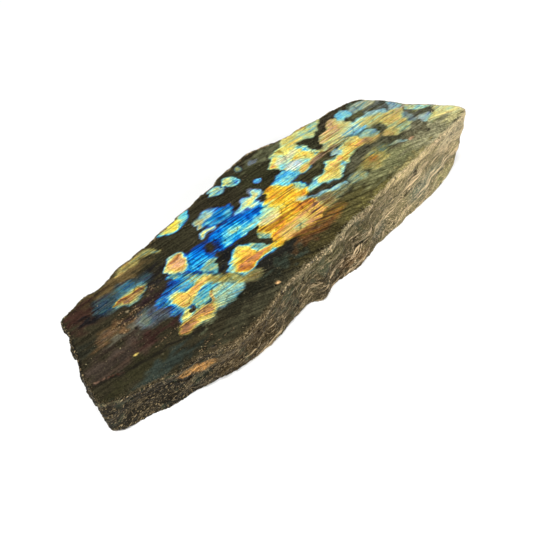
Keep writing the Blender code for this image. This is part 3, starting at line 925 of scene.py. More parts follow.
island([(-40, -6.6), (-39, -3.4), (-37.4, -1), (-34.4, 0.2), (-31, 0.1), (-26, -0.4), (-20, -0.4),
        (-13.7, -0.5), (-15.4, -2), (-17.2, -3.4), (-18.6, -5.2), (-17.4, -7.8), (-15.8, -10.2),
        (-16.8, -11.6), (-19.2, -10.8), (-20.6, -8), (-22.2, -6), (-24.4, -4.6), (-26.4, -2.9), (-28.6, -2),
        (-31, -3), (-33.4, -4.8), (-37, -7.6)], soft=0.5)
island([(-51.4, 3), (-49.4, 3), (-47.6, 1.5), (-46.2, -0.4), (-45.2, -2.4), (-46, -2.4), (-47.8, -0.6),
        (-50, 1.2)], soft=1.6)
island([(-37.2, 2.4), (-36.8, 5.6), (-35.6, 7.4), (-33.4, 7.8), (-32, 5.6), (-32.4, 3), (-34.8, 1.8)],
       soft=1.8)
print("with the middle:", int((cover > 0).sum()), "points flash")

# %% [markdown]
# The thick end is paler, because more of the sky is mirrored there: white and yellow beside a clear blue
# patch, a gold strip, and soft fields of mint, copper and straw yellow up to the far tip.

# %% Flashes of the thick end
flash([(5.4, 9.6), (6.2, 10.8), (8.4, 10.8), (10.4, 12), (12.6, 12.5), (14.8, 11.4), (16.6, 9.6),
       (18.6, 7.6), (18.8, 6.3), (16.4, 6.1), (13.4, 6.1), (11, 5.7), (9.4, 5.9), (7.8, 7.5), (6.4, 9)],
      [(12, 10.6, 0.29), (9, 10, 0.31), (15, 8, 0.35), (10, 7.2, 0.4), (7, 9.8, 0.36), (13, 7.4, 0.4)],
      bright=0.97, pale=0.05, rim_layer=0.4, rim_width=0.6, lined=0.2)
flash([(12.2, 18), (14.2, 19.3), (16, 20.4), (17.2, 22), (19.6, 23), (22.6, 23.6), (26, 23), (29.6, 22),
       (30.4, 19.6), (31.6, 17.4), (32.8, 15.6), (32.6, 13), (33.2, 10.6), (35.6, 8.4), (32, 8.2), (28, 7.8),
       (25, 8), (22, 8.4), (19, 8.6), (17.4, 9.6), (16.4, 11.4), (15.2, 13.2), (14.6, 15), (13.4, 16.4)],
      [(13.6, 18, 0.82), (17, 20, 0.64), (22, 21.6, 0.64), (27.6, 21, 0.6), (21, 19.2, 0.42),
       (24.6, 17.2, 0.62), (28.6, 16, 0.64), (24.4, 13.9, 0.69), (29.2, 12.4, 0.68), (20, 17, 0.6),
       (16.8, 14, 0.42), (19, 12, 0.45), (22, 10.8, 0.29), (20, 9.6, 0.38), (26, 9.6, 0.42),
       (31.8, 14.6, 0.3), (30.8, 18, 0.36), (33, 9.4, 0.38), (30.6, 10.4, 0.6)],
      bright=1, pale=0.08, rim_layer=0.52, rim_width=0.7, lined=0.45, halo=0.9, fade=0.2)
flash([(17.2, 12.6), (19.4, 14.2), (22, 13.4), (24.6, 11.4), (22.4, 9.6), (19, 9.6), (17, 11)],
      [(20, 12, 0.4), (22, 10.8, 0.3)], bright=1, pale=0.94, soft=1.2, rim_layer=0.4, lined=0.9)
flash([(15.4, 17.6), (19, 18.8), (24, 18), (28, 18), (27, 16.4), (22, 15.6), (17, 16)],
      [(20, 17, 0.56), (25, 17, 0.6)], bright=1, pale=0.66, soft=1.4, rim_layer=0.5, lined=0.9)
flash([(18.4, 6.6), (19.6, 8.3), (22, 8.5), (24.6, 8.1), (24.4, 6.4), (22.8, 5.3), (20.6, 5.7)],
      [(21.6, 7, 0.7)], bright=0.9, pale=0.15, rim_layer=0.5, rim_width=0.6)
flash([(26, 22.6), (27.2, 24.8), (29, 26.6), (33, 28), (38, 27.6), (44, 26.6), (50.4, 24.6), (49.8, 22.8),
       (47.4, 21.2), (45.2, 19.4), (43, 19.6), (41, 18.6), (38.2, 18.3), (36.2, 19.8), (34, 20.6),
       (31.8, 20.8), (29.2, 20.2)],
      [(29, 24, 0.58), (33, 24.4, 0.57), (38, 22, 0.43), (43, 21.6, 0.41), (46.6, 22.8, 0.45),
       (34, 21.6, 0.52), (40, 19.6, 0.55), (41, 25, 0.6)],
      bright=0.8, pale=0.12, soft=0.8, rim_layer=0.54, rim_width=0.8, lined=0.7, fade=0.2)
flash([(33.4, 7.4), (36.4, 8.4), (38.4, 10.4), (39.8, 13), (41.8, 14.7), (44.4, 15.4), (47.6, 15.8),
       (49.6, 17.6), (52.4, 18.6), (55.4, 18.7), (56.6, 16.8), (57.4, 14.6), (57.6, 12.2), (58.8, 10),
       (60.4, 8.4), (59.4, 6.4), (56, 5.7), (52, 5.5), (48, 5.7), (44, 5.9), (40, 6), (36, 6.5)],
      [(44, 13, 0.72), (50, 13, 0.76), (52, 16, 0.8), (54.4, 12, 0.64), (48, 10, 0.62), (42, 11, 0.66),
       (55.4, 8.8, 0.45), (50.5, 8.2, 0.46), (44, 8, 0.55), (37, 7.4, 0.4), (56.4, 14, 0.55)],
      bright=0.74, pale=0.26, soft=1, rim_layer=0.54, rim_width=0.8, lined=1, fade=0.2)
island([(33.4, 19.4), (37, 18), (42, 18.2), (46, 20.4), (50, 22.8), (56, 22.4), (57, 20.2), (52, 19.9),
        (48.6, 18.4), (46, 16.6), (42, 15.8), (39.6, 13.6), (38, 11), (35.8, 9.6), (34, 11), (34.2, 14),
        (32.8, 17)], soft=0.9)
flash([(56, 16.4), (57.6, 18.6), (60, 19.6), (62.8, 19.2), (64.4, 17.4), (64.2, 15.2), (61.6, 14.4),
       (59.6, 15.6), (57.6, 15.6)], [(60.6, 17.4, 0.36)],
      bright=0.88, pale=0.15, rim_layer=0.34, rim_width=0.7, lined=0.3)
flash([(64.8, 16.8), (67.4, 17.7), (71, 18), (74.8, 17), (77.2, 14.8), (79.2, 12.8), (76, 12.6), (73, 13.2),
       (70, 13.6), (67.4, 14), (65.4, 14.6)], [(68, 15.8, 0.4), (73, 15.4, 0.46), (77.4, 13.4, 0.56)],
      bright=0.48, pale=0.5, soft=1.4, rim_layer=0.42, lined=0.7, fade=0.2)
flash([(56.2, 9.4), (59, 10), (63, 10.1), (66, 9), (64, 6.6), (61, 5.2), (57.6, 4.8), (55.6, 6.8)],
      [(60, 8, 0.42), (63.6, 8.4, 0.46)], bright=0.85, pale=0.3, soft=0.8, rim_layer=0.42, lined=0.5)
flash([(60.6, 8.6), (64, 8.2), (67.4, 6.8), (71, 5.4), (74, 4.2), (77, 2.8), (80.4, 1.4), (81, -0.6),
       (79, -2.6), (77.8, -5), (76.8, -7.4), (75.4, -9.6), (72, -10.6), (68.6, -10.6), (65.4, -9.8),
       (62.6, -8), (60.6, -5.6), (63, -4.4), (66, -3.6), (67.6, -1.6), (66.8, 0.8), (64.4, 2.4), (61.4, 3),
       (59, 3.6), (58.8, 5.8)],
      [(64, 6, 0.54), (69, 3.5, 0.59), (74, -1, 0.64), (72, -3.4, 0.63), (76.4, -4.4, 0.61), (70, -6.5, 0.5),
       (66, -7.2, 0.62), (63, -6.4, 0.72), (75, 1.4, 0.6), (70, 1, 0.6), (73, -8, 0.57)],
      bright=0.54, pale=0.18, soft=1.1, rim_layer=0.54, rim_width=0.8, lined=0.85, fade=0.2)
flash([(65.8, 8.8), (68.4, 9.8), (71, 9), (73.4, 7), (76, 5), (74.4, 4.2), (71.6, 5.4), (69, 6.8),
       (67, 7.8)], [(70, 7.6, 0.38)], bright=0.6, pale=0.3, soft=1, rim_layer=0.4, lined=0.5)
flash([(51.2, 5.2), (53.6, 6.3), (56.8, 6), (60.2, 5), (61, 3.8), (58, 3.6), (55.4, 4.3), (52.4, 4.3)],
      [(55, 5.4, 0.33)], bright=0.8, pale=0.2, soft=0.3, rim_layer=0.36, rim_width=0.4, lined=0.3)
flash([(12.4, -3.2), (14.4, -1.8), (17, -1), (20, -0.7), (23, -1.1), (25.2, -1), (26.6, -0.4), (28.4, 1.2),
       (30.2, 2.2), (32.4, 2), (34.6, 0.9), (37, 0.9), (38.8, 2.2), (41, 3.7), (44, 4.3), (48, 4.3),
       (51.6, 3.8), (52.8, 1.4), (53, -0.6), (51.4, -2.2), (48, -2.3), (45, -1.8), (42, -2.3), (39.4, -2.9),
       (37, -4.1), (34.4, -4.3), (31.6, -5.9), (29.6, -7.2), (26.6, -7.5), (23.6, -6.9), (21.4, -5.9),
       (19.6, -4.7), (17, -4.3), (14, -3.9)],
      [(31, -1.2, 0.76), (36, -0.8, 0.78), (30, 1, 0.6), (29.5, -3.6, 0.72), (27, -2.6, 0.7), (24, -4, 0.61),
       (26.4, -6.4, 0.64), (21, -3, 0.6), (18, -1.8, 0.33), (15, -2.8, 0.36), (35, -3.4, 0.32),
       (41, 1, 0.62), (40, -1.4, 0.74), (45, 0.4, 0.7), (48, -0.6, 0.78), (52, -2.4, 0.74), (49, 2.8, 0.56),
       (39, 1.9, 0.4), (31, -5.2, 0.4)],
      bright=0.88, pale=0.12, soft=0.6, rim_layer=0.46, rim_width=0.7, lined=0.6, halo=0.9, fade=0.4)
flash([(50.4, -1.2), (53.4, -0.4), (56.4, -2.4), (60.4, -3.6), (57, -4.6), (53.4, -4.2), (51, -3)],
      [(53, -2, 0.78), (57, -3.6, 0.7)],
      bright=0.34, pale=0.2, soft=1.2, rim_layer=0.7, lined=0.8, halo=1.4, fade=0.1)
flash([(24.8, 7.4), (28, 8.3), (33, 7.9), (38, 7.4), (43, 6.3), (38, 5.8), (32, 6.2), (27, 6.3)],
      [(28, 7.2, 0.86), (36, 6.6, 0.84)],
      bright=0.4, pale=0.25, soft=0.8, rim_layer=0.8, lined=0.8, halo=0.8, fade=0)
flash([(36.2, 3.8), (38, 4.7), (39.9, 4.2), (39.6, 2.4), (37.8, 1.5)], [(38, 3.2, 0.37)],
      bright=0.56, pale=0.4, soft=0.7, rim_layer=0.38)
flash([(52.2, 1.8), (55, 2.4), (58, 2.4), (60.6, 1.2), (61, -1.2), (59.4, -3), (56.6, -2.4), (54, -0.8)],
      [(55, 0.5, 0.46), (59, 0, 0.35)], bright=0.5, pale=0.2, soft=1.2, rim_layer=0.4, lined=0.6)
flash([(5.4, -3.6), (6.6, -2.6), (8.2, -3.4), (9.6, -4.6), (8, -5.4), (6.4, -5)], [(7, -4, 0.42)],
      bright=0.8, pale=0.4, soft=0.5, rim_layer=0.45)
flash([(38.2, -11.4), (40.2, -9.6), (43.4, -8.6), (47, -8.2), (51, -8.6), (55.4, -9.8), (52.4, -12),
       (49.4, -14.4), (45.6, -15.8), (42, -15.8), (39.4, -14.4)],
      [(45.4, -11.4, 0.82), (42, -12.6, 0.66), (49, -12, 0.64), (45, -14, 0.64), (47, -8.8, 0.46),
       (53, -9.8, 0.44)],
      bright=0.2, pale=0.1, soft=2.4, rim_layer=0.56, rim_width=0.8, lined=0.8, halo=2.2, fade=0.1)
flash([(43.4, -10.8), (45, -10), (47.4, -10.6), (47.6, -12.4), (45.6, -13), (43.8, -12.2)],
      [(45.6, -11.6, 0.84)], bright=0.38, soft=1.4, rim_layer=0.78, lined=0.9, fade=0.1)
flash([(27, -12.9), (29.4, -11.5), (32.4, -11.3), (35, -12.6), (35.6, -14.6), (33.6, -15.7), (31.4, -14.4),
       (29.2, -13.7)], [(31, -12.4, 0.5), (33.6, -13.6, 0.56)],
      bright=0.34, pale=0.25, soft=1.8, rim_layer=0.44, rim_width=0.6, lined=0.8, halo=1.6, fade=0.1)
flash([(56, -10.8), (59, -11.3), (62, -12.8), (64.2, -15), (63.4, -15.2), (61, -13.4), (58.4, -12)],
      [(63, -13.6, 0.38), (58, -11.4, 0.5)], bright=0.3, pale=0.35, soft=0.7, rim_layer=0.44, halo=0.7)
flash([(77.4, 3.6), (79.2, 4.6), (81.2, 7.4), (83, 8.8), (86, 6), (88, 2.6), (86, 1.4), (84, 1.4),
       (81.6, 1.4), (79, 1.8)], [(80, 4, 0.36), (82.4, 4, 0.36), (84.6, 4.4, 0.48), (85.6, 2.4, 0.56)],
      bright=0.46, pale=0.35, soft=1.2, rim_layer=0.4, lined=0.6, fade=0.2)
flash([(85, 0.2), (87, 1.2), (89, -0.2), (87, -1.4)], [(87, 0, 0.72)],
      bright=0.8, pale=0.3, soft=0.5, rim_layer=0.6)
flash([(83, -1.4), (85.4, -0.6), (88, -1.4), (91.4, -3), (93.6, -7), (92.6, -9), (90, -8.4), (87, -6.6),
       (85, -4.4)], [(86, -2.4, 0.48), (89, -4.4, 0.38), (91, -7, 0.45)],
      bright=0.78, pale=0.2, soft=0.8, rim_layer=0.4, lined=0.6)
flash([(77.6, -3), (79.6, -2), (80.4, -6), (79, -9.4), (76.6, -9), (76.4, -6.2)], [(78, -6, 0.34)],
      bright=0.18, pale=0.4, soft=1.8, rim_layer=0.36, lined=0.5, fade=0.2)
flash([(80.2, -11), (82.6, -10.2), (86.2, -11.2), (86.8, -12.6), (83.6, -13.2), (81, -14)],
      [(83, -12, 0.33)], bright=0.46, pale=0.4, soft=1, rim_layer=0.38, lined=0.6)
flash([(80.6, -14.8), (83.4, -14), (87, -13.4), (90, -12.4), (92, -9.8), (95, -8.6), (98, -12.6),
       (100.4, -18), (98.4, -20.4), (94.4, -19.8), (91, -18.4), (88.4, -16.2), (85, -15.8), (82, -15.9)],
      [(96, -15, 0.55), (92.4, -14, 0.57), (84, -14.8, 0.6), (90, -15.6, 0.6), (97, -18.4, 0.57)],
      bright=0.68, pale=0.3, soft=1.8, rim_layer=0.55, lined=0.85, halo=2, fade=0.1)
print("with the thick end:", int((cover > 0).sum()), "points flash")

# %% [markdown]
# Dark seams are cracks that healed, and bands where the layers end; a few pale lines lie beside one of them.
# Each is a line of a few points with a width. The sunk pits share the seams' mask, so their hollows get
# painted shade. In a few bruised patches the polish is broken by tiny dark pits, painted as specks of shade,
# and in others by pale crumbs. Flecks are single grains and chips, some pale and some dark; a few dark ones
# paint shade into the largest pits, and one paints a shadow beside a pale chip.

# %% Seams, bruises and flecks
# the sunk pits start this mask, so they are painted dark: painted shade in their hollows
seam_and_pit_shade = smoothstep(sunk * 4)
bruised = np.zeros(len(points))
crumbled = np.zeros(len(points))


def along_line(corners, width):
    """A mask that is 1 on the open line through the corners and fades out beside it."""
    corners = np.array(corners, float)
    places = fine_wandering[:, :2]
    distance = np.min([from_side(places, *side) for side in zip(corners[:-1], corners[1:])], axis=0)
    return smoothstep(1.4 - distance / width)


def dark_seam(corners, width, strength=1.0):
    """Darkens a line."""
    seam_and_pit_shade[face] = np.maximum(seam_and_pit_shade[face], strength * along_line(corners, width))


def pale_line(corners, width, colour):
    """Lightens the ground along a line."""
    stain(face, along_line(corners, width), colour)


def bruise(damage, x, y, reach):
    """Spreads one kind of damage over a round patch."""
    far = np.hypot(wandering[:, 0] - x, wandering[:, 1] - y) / reach
    damage[face] = np.maximum(damage[face], smoothstep(FADED - far))


def fleck(x, y, reach, colour):
    """A small oval of one colour; chips and grains are painted with it, and so is shade in pits and beside a
    chip.
    """
    far = np.hypot((points[face, 0] - x) / reach[0], (points[face, 1] - y) / reach[1])
    share = smoothstep(2.0 - far * 1.3)
    stain(face, share, colour)
    cover[face] = np.minimum(cover[face], 1.0 - 2.0 * share)


dark_seam([(34, 7), (40, 7.3), (46, 7.1), (50, 6), (52, 4.6), (58, 2.9), (64, 2.2), (72, 1.6), (77, 1.1)],
          0.45, 0.8)
dark_seam([(-14, -5.6), (-5, -5.8), (1, -5.4), (8, -6.2), (14, -7.4)], 0.5, 0.75)
dark_seam([(-12, -7.2), (-4, -8.6), (2, -9.2), (10, -9.8), (16, -10.6)], 0.3, 0.6)
dark_seam([(-47, 0.8), (-45, -2.0), (-43, -4.4), (-40.6, -7.4)], 0.4, 0.6)
dark_seam([(-54, -3.2), (-50, -4.4), (-45, -2.9), (-42, -4.6), (-40.6, -8), (-38.6, -10.4)], 0.25, 0.5)
dark_seam([(-97, -9.4), (-93, -10.6), (-88, -12.6), (-83, -14.2), (-78, -15), (-72, -15.4), (-66, -17.6),
           (-60, -19.6)], 0.6, 0.8)
dark_seam([(-17, -14.8), (-8, -16), (0, -18), (6, -19.8)], 0.5, 0.5)
dark_seam([(2, -7.7), (8, -8.4), (14, -9.2)], 0.7, 0.5)
dark_seam([(46.6, -4.4), (51, -4.6), (48.6, -6.8)], 0.4, 0.6)
dark_seam([(-51.6, 10.2), (-48, 9.9), (-44.4, 10.4)], 0.3, 0.5)
dark_seam([(-74, 10.1), (-68, 9.4), (-60, 8.8)], 0.4, 0.8)
pale_line([(-96, -9.0), (-92.5, -10.2)], 0.25, (140, 108, 88))
pale_line([(-92.5, -10.2), (-88, -12.2)], 0.2, (84, 52, 38))
for x, y, reach in ((-18.6, -8, 2.4), (-34.5, 4.6, 3), (-19, -16, 4), (-76, 2, 3), (-64, -26, 4),
                    (-33, 5, 3), (35, 9, 3), (-57, -11, 2)):
    bruise(bruised, x, y, reach)
for x, y, reach in ((-77, 2.4, 2.2), (-73, 1, 2.4), (-72, 5, 1.4), (-61, 6, 1.6), (-70, -13, 1.6),
                    (-64, -25, 2.6), (80, 0.4, 2.6), (86, -1.6, 1.6)):
    bruise(crumbled, x, y, reach)
# a painted shadow at the lower left of the pale chip below
fleck(-31.2, -25.5, (0.6, 0.35), (14, 13, 10))
fleck(-29.9, -25.2, (0.7, 0.4), (240, 190, 130))
fleck(-81.5, -10.4, (0.5, 0.35), (250, 220, 120))
# painted shade in the long pit
fleck(-57.5, -10.7, (1.3, 0.6), (8, 8, 10))
# painted shade in the far pit
fleck(88.4, -11.9, (0.7, 0.45), (14, 20, 20))
fleck(66.3, -15.7, (1.6, 0.35), (215, 170, 130))
fleck(-73, 5.2, (0.45, 0.35), (200, 180, 140))
fleck(-65.2, -25.6, (0.7, 0.4), (10, 10, 9))
# painted shade in the front pit
fleck(-62.8, -27.2, (1.0, 0.55), (8, 8, 8))
fleck(79.6, 0.9, (1.3, 0.3), (236, 212, 182))
fleck(83.2, 0.3, (1.5, 0.35), (240, 222, 196))
fleck(86.4, -0.4, (0.8, 0.3), (226, 196, 150))

for name, values in (("cover", cover), ("layer", layer), ("glow", glow), ("sheen", sheen), ("lines", lines),
                     ("seam_and_pit_shade", seam_and_pit_shade), ("bruised", bruised), ("crumbled", crumbled), ("ground", ground)):
    keep(name, values)
print("seams cover", int((seam_and_pit_shade > 0.3).sum()), "points")

# %% [markdown]
# A shader is a tree of nodes, and most of its nodes only do arithmetic. So that it can be read as arithmetic,
# each node's output is wrapped in a `Signal` below: where two signals are added, subtracted or multiplied, a
# Math node is made. The other helpers add the few kinds of nodes that this stone needs.

# %% Helpers for shader nodes
NUMBER, VECTOR = "NodeSocketFloat", "NodeSocketVector"


class Signal:
    """What comes out of a shader node: a number, a colour or a place."""

    def __init__(self, socket):
        self.socket = socket
        self.tree = socket.id_data

    def __add__(self, other):
        return maths("ADD", self, other)

    def __sub__(self, other):
        return maths("SUBTRACT", self, other)

    def __rsub__(self, other):
        return maths("SUBTRACT", other, self)

    def __mul__(self, other):
        return maths("MULTIPLY", self, other)


def fill(node, name, value):
    """Gives one input of a node its value: a constant, or another node's signal."""
    if isinstance(value, Signal):
        value.tree.links.new(value.socket, node.inputs[name])
    else:
        node.inputs[name].default_value = value


def add(tree, kind, values, output=0, **settings):
    """Adds a node, fills its inputs, which are given by name or number, and returns one of its outputs."""
    node = tree.nodes.new(kind)
    for name, value in settings.items():
        setattr(node, name, value)
    for name, value in values.items():
        fill(node, name, value)
    return Signal(node.outputs[output])


def tree_of(*values):
    """The tree that the signals among the values are part of."""
    return next(value.tree for value in values if isinstance(value, Signal))


def maths(operation, first, second=0.0, clamp=False):
    """What a Math node makes of two numbers."""
    tree = tree_of(first, second)
    return add(tree, "ShaderNodeMath", {0: first, 1: second}, operation=operation, use_clamp=clamp)


def largest(first, *others):
    """The largest of several numbers."""
    for other in others:
        first = maths("MAXIMUM", first, other)
    return first


def remapped(value, low, high, new_low=0.0, new_high=1.0):
    """The number moved softly from one range to another."""
    values = {"Value": value, "From Min": low, "From Max": high, "To Min": new_low, "To Max": new_high}
    return add(value.tree, "ShaderNodeMapRange", values, "Result", interpolation_type="SMOOTHSTEP")


def blended(share, first, second):
    """Two numbers mixed."""
    return add(share.tree, "ShaderNodeMix", {"Factor": share, "A": first, "B": second}, "Result")


def mixed(share, first, second, blend="MIX"):
    """Two colours mixed. A Mix node keeps its colours in inputs 6 and 7, and their mixture in output 2."""
    values = {"Factor": share, 6: first, 7: second}
    return add(tree_of(share, first), "ShaderNodeMix", values, 2, data_type="RGBA", blend_type=blend)


def lit(colour, light):
    """A colour made brighter or darker."""
    return mixed(1.0, colour, light, "MULTIPLY")


def clouds(place, scale, detail, roughness=0.5, output="Fac"):
    """A noise."""
    values = {"Vector": place, "Scale": scale, "Detail": detail, "Roughness": roughness}
    return add(place.tree, "ShaderNodeTexNoise", values, output)


def vectors(operation, values):
    """What a Vector Math node makes of places and sizes."""
    return add(tree_of(*values.values()), "ShaderNodeVectorMath", values, operation=operation)


def coordinate(place, axis):
    """One coordinate of a place."""
    return add(place.tree, "ShaderNodeSeparateXYZ", {0: place}, axis)


def attribute(tree, name, output="Fac"):
    """One of the attributes painted above."""
    return add(tree, "ShaderNodeAttribute", {}, output, attribute_name=name)


def opaque(red, green, blue):
    """A screen colour as a shader's constant."""
    return (*linear(red, green, blue), 1.0)


def new_paint(name):
    """A new material, its surface node and the place on the stone in millimetres."""
    paint = bpy.data.materials.new(name)
    paint.use_nodes = True
    tree = paint.node_tree
    place = vectors("SCALE", {0: add(tree, "ShaderNodeTexCoord", {}, "Object"), "Scale": 1 / MM})
    return paint, tree.nodes["Principled BSDF"], place


def roughen(surface, height, strength, distance):
    """Gives a surface bumps."""
    values = {"Height": height, "Strength": strength, "Distance": distance}
    fill(surface, "Normal", add(height.tree, "ShaderNodeBump", values, "Normal"))


# %% [markdown]
# The finishes share some effects, and a shader node group keeps each of them in one place. A group is made
# once, with named inputs and one output, and used by each material that needs it, with its own numbers.
#
# The first is streaks: a noise that is squeezed across the layers and stretched along them. On the face the
# layers run along the stone, and on the walls they climb, so the group turns the place first, about any axis.

# %% Group: streaks along the layers
SQUEEZED = {"Place": (VECTOR, None), "Axis": (VECTOR, (0, 0, 1)), "Turn": (NUMBER, 0.0),
            "Reach": (VECTOR, (12, 1, 12))}


def new_group(name, inputs, output):
    """A node group with inputs (title: type and default) and one number as output.

    Returns the group, its inputs as signals, and the node that its result goes into.
    """
    group = bpy.data.node_groups.new(name, "ShaderNodeTree")
    for title, (kind, default) in inputs.items():
        socket = group.interface.new_socket(title, in_out="INPUT", socket_type=kind)
        if default is not None:
            socket.default_value = default
    group.interface.new_socket(output, in_out="OUTPUT", socket_type=NUMBER)
    given = {socket.name: Signal(socket) for socket in group.nodes.new("NodeGroupInput").outputs}
    return group, given, group.nodes.new("NodeGroupOutput")


def use(group, **values):
    """Puts a group into a material, and returns its result."""
    return add(values["Place"].tree, "ShaderNodeGroup", values, node_tree=group)


def squeezed(given):
    """A group's place, turned about its axis and squeezed by its reach."""
    place = given["Place"]
    values = {"Vector": place, "Axis": given["Axis"], "Angle": given["Turn"]}
    turned = add(place.tree, "ShaderNodeVectorRotate", values, rotation_type="AXIS_ANGLE")
    return vectors("DIVIDE", {0: turned, 1: given["Reach"]})


def streaks_group():
    """Long streaks, 1 where they are brightest."""
    group, given, result = new_group("layer streaks", SQUEEZED, "Streak")
    values = {"Vector": squeezed(given), "Scale": 1.0, "Detail": 3.0, "Roughness": 0.6, "Distortion": 0.2}
    fill(result, "Streak", remapped(add(group, "ShaderNodeTexNoise", values, "Fac"), 0.28, 0.72))
    return group


STREAKS = streaks_group()
print("streaks:", len(STREAKS.nodes), "nodes")

# %% [markdown]
# A crystal also breaks across its layers. The borders between Voronoi cells look like such cracks: straight
# pieces that meet at angles. A noise bends them a little, and a second one lets only a share of them show.
# On the face they are hair-thin and dark. On the walls they outline the long plates of the break.

# %% Group: cracks
def cracks_group():
    """Thin lines that meet at angles, 1 along their middle."""
    inputs = SQUEEZED | {"Width": (NUMBER, 0.05), "Share": (NUMBER, 0.5)}
    group, given, result = new_group("cracks", inputs, "Crack")
    place = squeezed(given)
    bend = vectors("SCALE", {0: clouds(place, 1.4, 3.0, output="Color"), "Scale": 0.45})
    values = {"Vector": vectors("ADD", {0: place, 1: bend}), "Scale": 1.0}
    border = add(group, "ShaderNodeTexVoronoi", values, "Distance", feature="DISTANCE_TO_EDGE")
    shows = remapped(clouds(place, 0.8, 1.0) + given["Share"], 0.97, 1.05)
    fill(result, "Crack", remapped(border, given["Width"], 0.0) * shows)
    return group


CRACKS = cracks_group()
print("cracks:", len(CRACKS.nodes), "nodes")

# %% [markdown]
# Speckles are the grains of the rock. A fine noise is cut at a level, so that only its peaks are left.

# %% Group: speckles
def speckles_group():
    """Small round spots, 1 in their middle."""
    inputs = {"Place": (VECTOR, None), "Size": (NUMBER, 0.6), "Level": (NUMBER, 0.58)}
    group, given, result = new_group("speckles", inputs, "Speckle")
    grains = clouds(given["Place"], maths("DIVIDE", 1.0, given["Size"]), 2.0, 0.7)
    fill(result, "Speckle", remapped(grains - given["Level"], 0.0, 0.08))
    return group


SPECKLES = speckles_group()
print("speckles:", len(SPECKLES.nodes), "nodes")

# %% [markdown]
# Along the edge of the polished face the stone is bruised: a thin, ragged, pale line. It is as wide as a
# noise lets it be.

# %% Group: wear of the edge
def wear_group():
    """A ragged line along the rim, 1 where the stone is worn."""
    inputs = {"Place": (VECTOR, None), "Rim": (NUMBER, 5.0), "Width": (NUMBER, 0.8)}
    group, given, result = new_group("edge wear", inputs, "Wear")
    ragged = remapped(clouds(given["Place"], 0.42, 4.0, 0.75), 0.32, 0.66, 0.1, 1.6)
    fill(result, "Wear", remapped(given["Width"] * ragged - given["Rim"], -0.25, 0.25))
    return group


WEAR = wear_group()
print("wear of the edge:", len(WEAR.nodes), "nodes")

# %% [markdown]
# The polished face mixes three things: the dark ground, the flashes under their painted sheen of the sky, and
# the damage, whose pits are darkened as painted shade. The layer value goes through a colour ramp, the way a
# film's thickness turns into a colour. Thin dark lines along the layers cut the flashes into strands. In the
# front part of the stone the layers lie at a steeper angle, so the streaks are turned there. The face is
# smooth
# but not wet: a little rough, with a thin clear coat for its polish.

# %% Polished face
FILM_COLOURS = {
    0.00: (14, 22, 34), 0.10: (12, 44, 92), 0.18: (4, 64, 160), 0.26: (0, 106, 214), 0.33: (20, 176, 240),
    0.40: (100, 220, 232), 0.47: (170, 230, 190), 0.54: (220, 234, 140), 0.60: (250, 240, 112),
    0.66: (252, 220, 66), 0.72: (252, 196, 38), 0.80: (240, 160, 52), 0.88: (210, 122, 58),
    0.95: (152, 90, 52), 1.00: (100, 62, 42),
}
LAYERS_TURN = math.radians(5)
FRONT_LAYERS_TURN = math.radians(22)
CRACKS_TURN = math.radians(35)
# painted sheen: the whitish reflection of the bright sky laid over the flashes
PALE_SHEEN = opaque(240, 244, 222)
GRAIN_COLOURS = {"dull": opaque(118, 110, 82), "bright": opaque(178, 164, 124)}
CRUMBS = opaque(170, 142, 104)
# dark of the healed seams, and painted shade in the pits
DARK_SEAMS_AND_PIT_SHADE = opaque(22, 20, 17)
WORN_COLOURS = opaque(100, 86, 60), opaque(206, 190, 148)  # at the thin end and at the thick one

# Between which places along or across the stone, in millimetres, one look gives way to another.
STEEP_LAYERS = -12.0, -18.0  # across
CALM_END = -40.0, -70.0  # along
COARSE_END = -10.0, 50.0  # along
COARSE_FRONT = (-14.0, -20.0), (-45.0, -20.0)  # across, and along
WORN_FRONT = 4.0, -14.0  # across
WORN_PALER = -60.0, 50.0  # along


def film_ramp(value):
    """The colour of a flash for its layer value."""
    colour = add(value.tree, "ShaderNodeValToRGB", {"Fac": value}, "Color")
    stops = colour.socket.node.color_ramp.elements
    while len(stops) > 1:
        stops.remove(stops[-1])
    for number, (position, film_colour) in enumerate(FILM_COLOURS.items()):
        stop = stops.new(position) if number else stops[0]
        stop.position = position
        stop.color = opaque(*film_colour)
    return colour


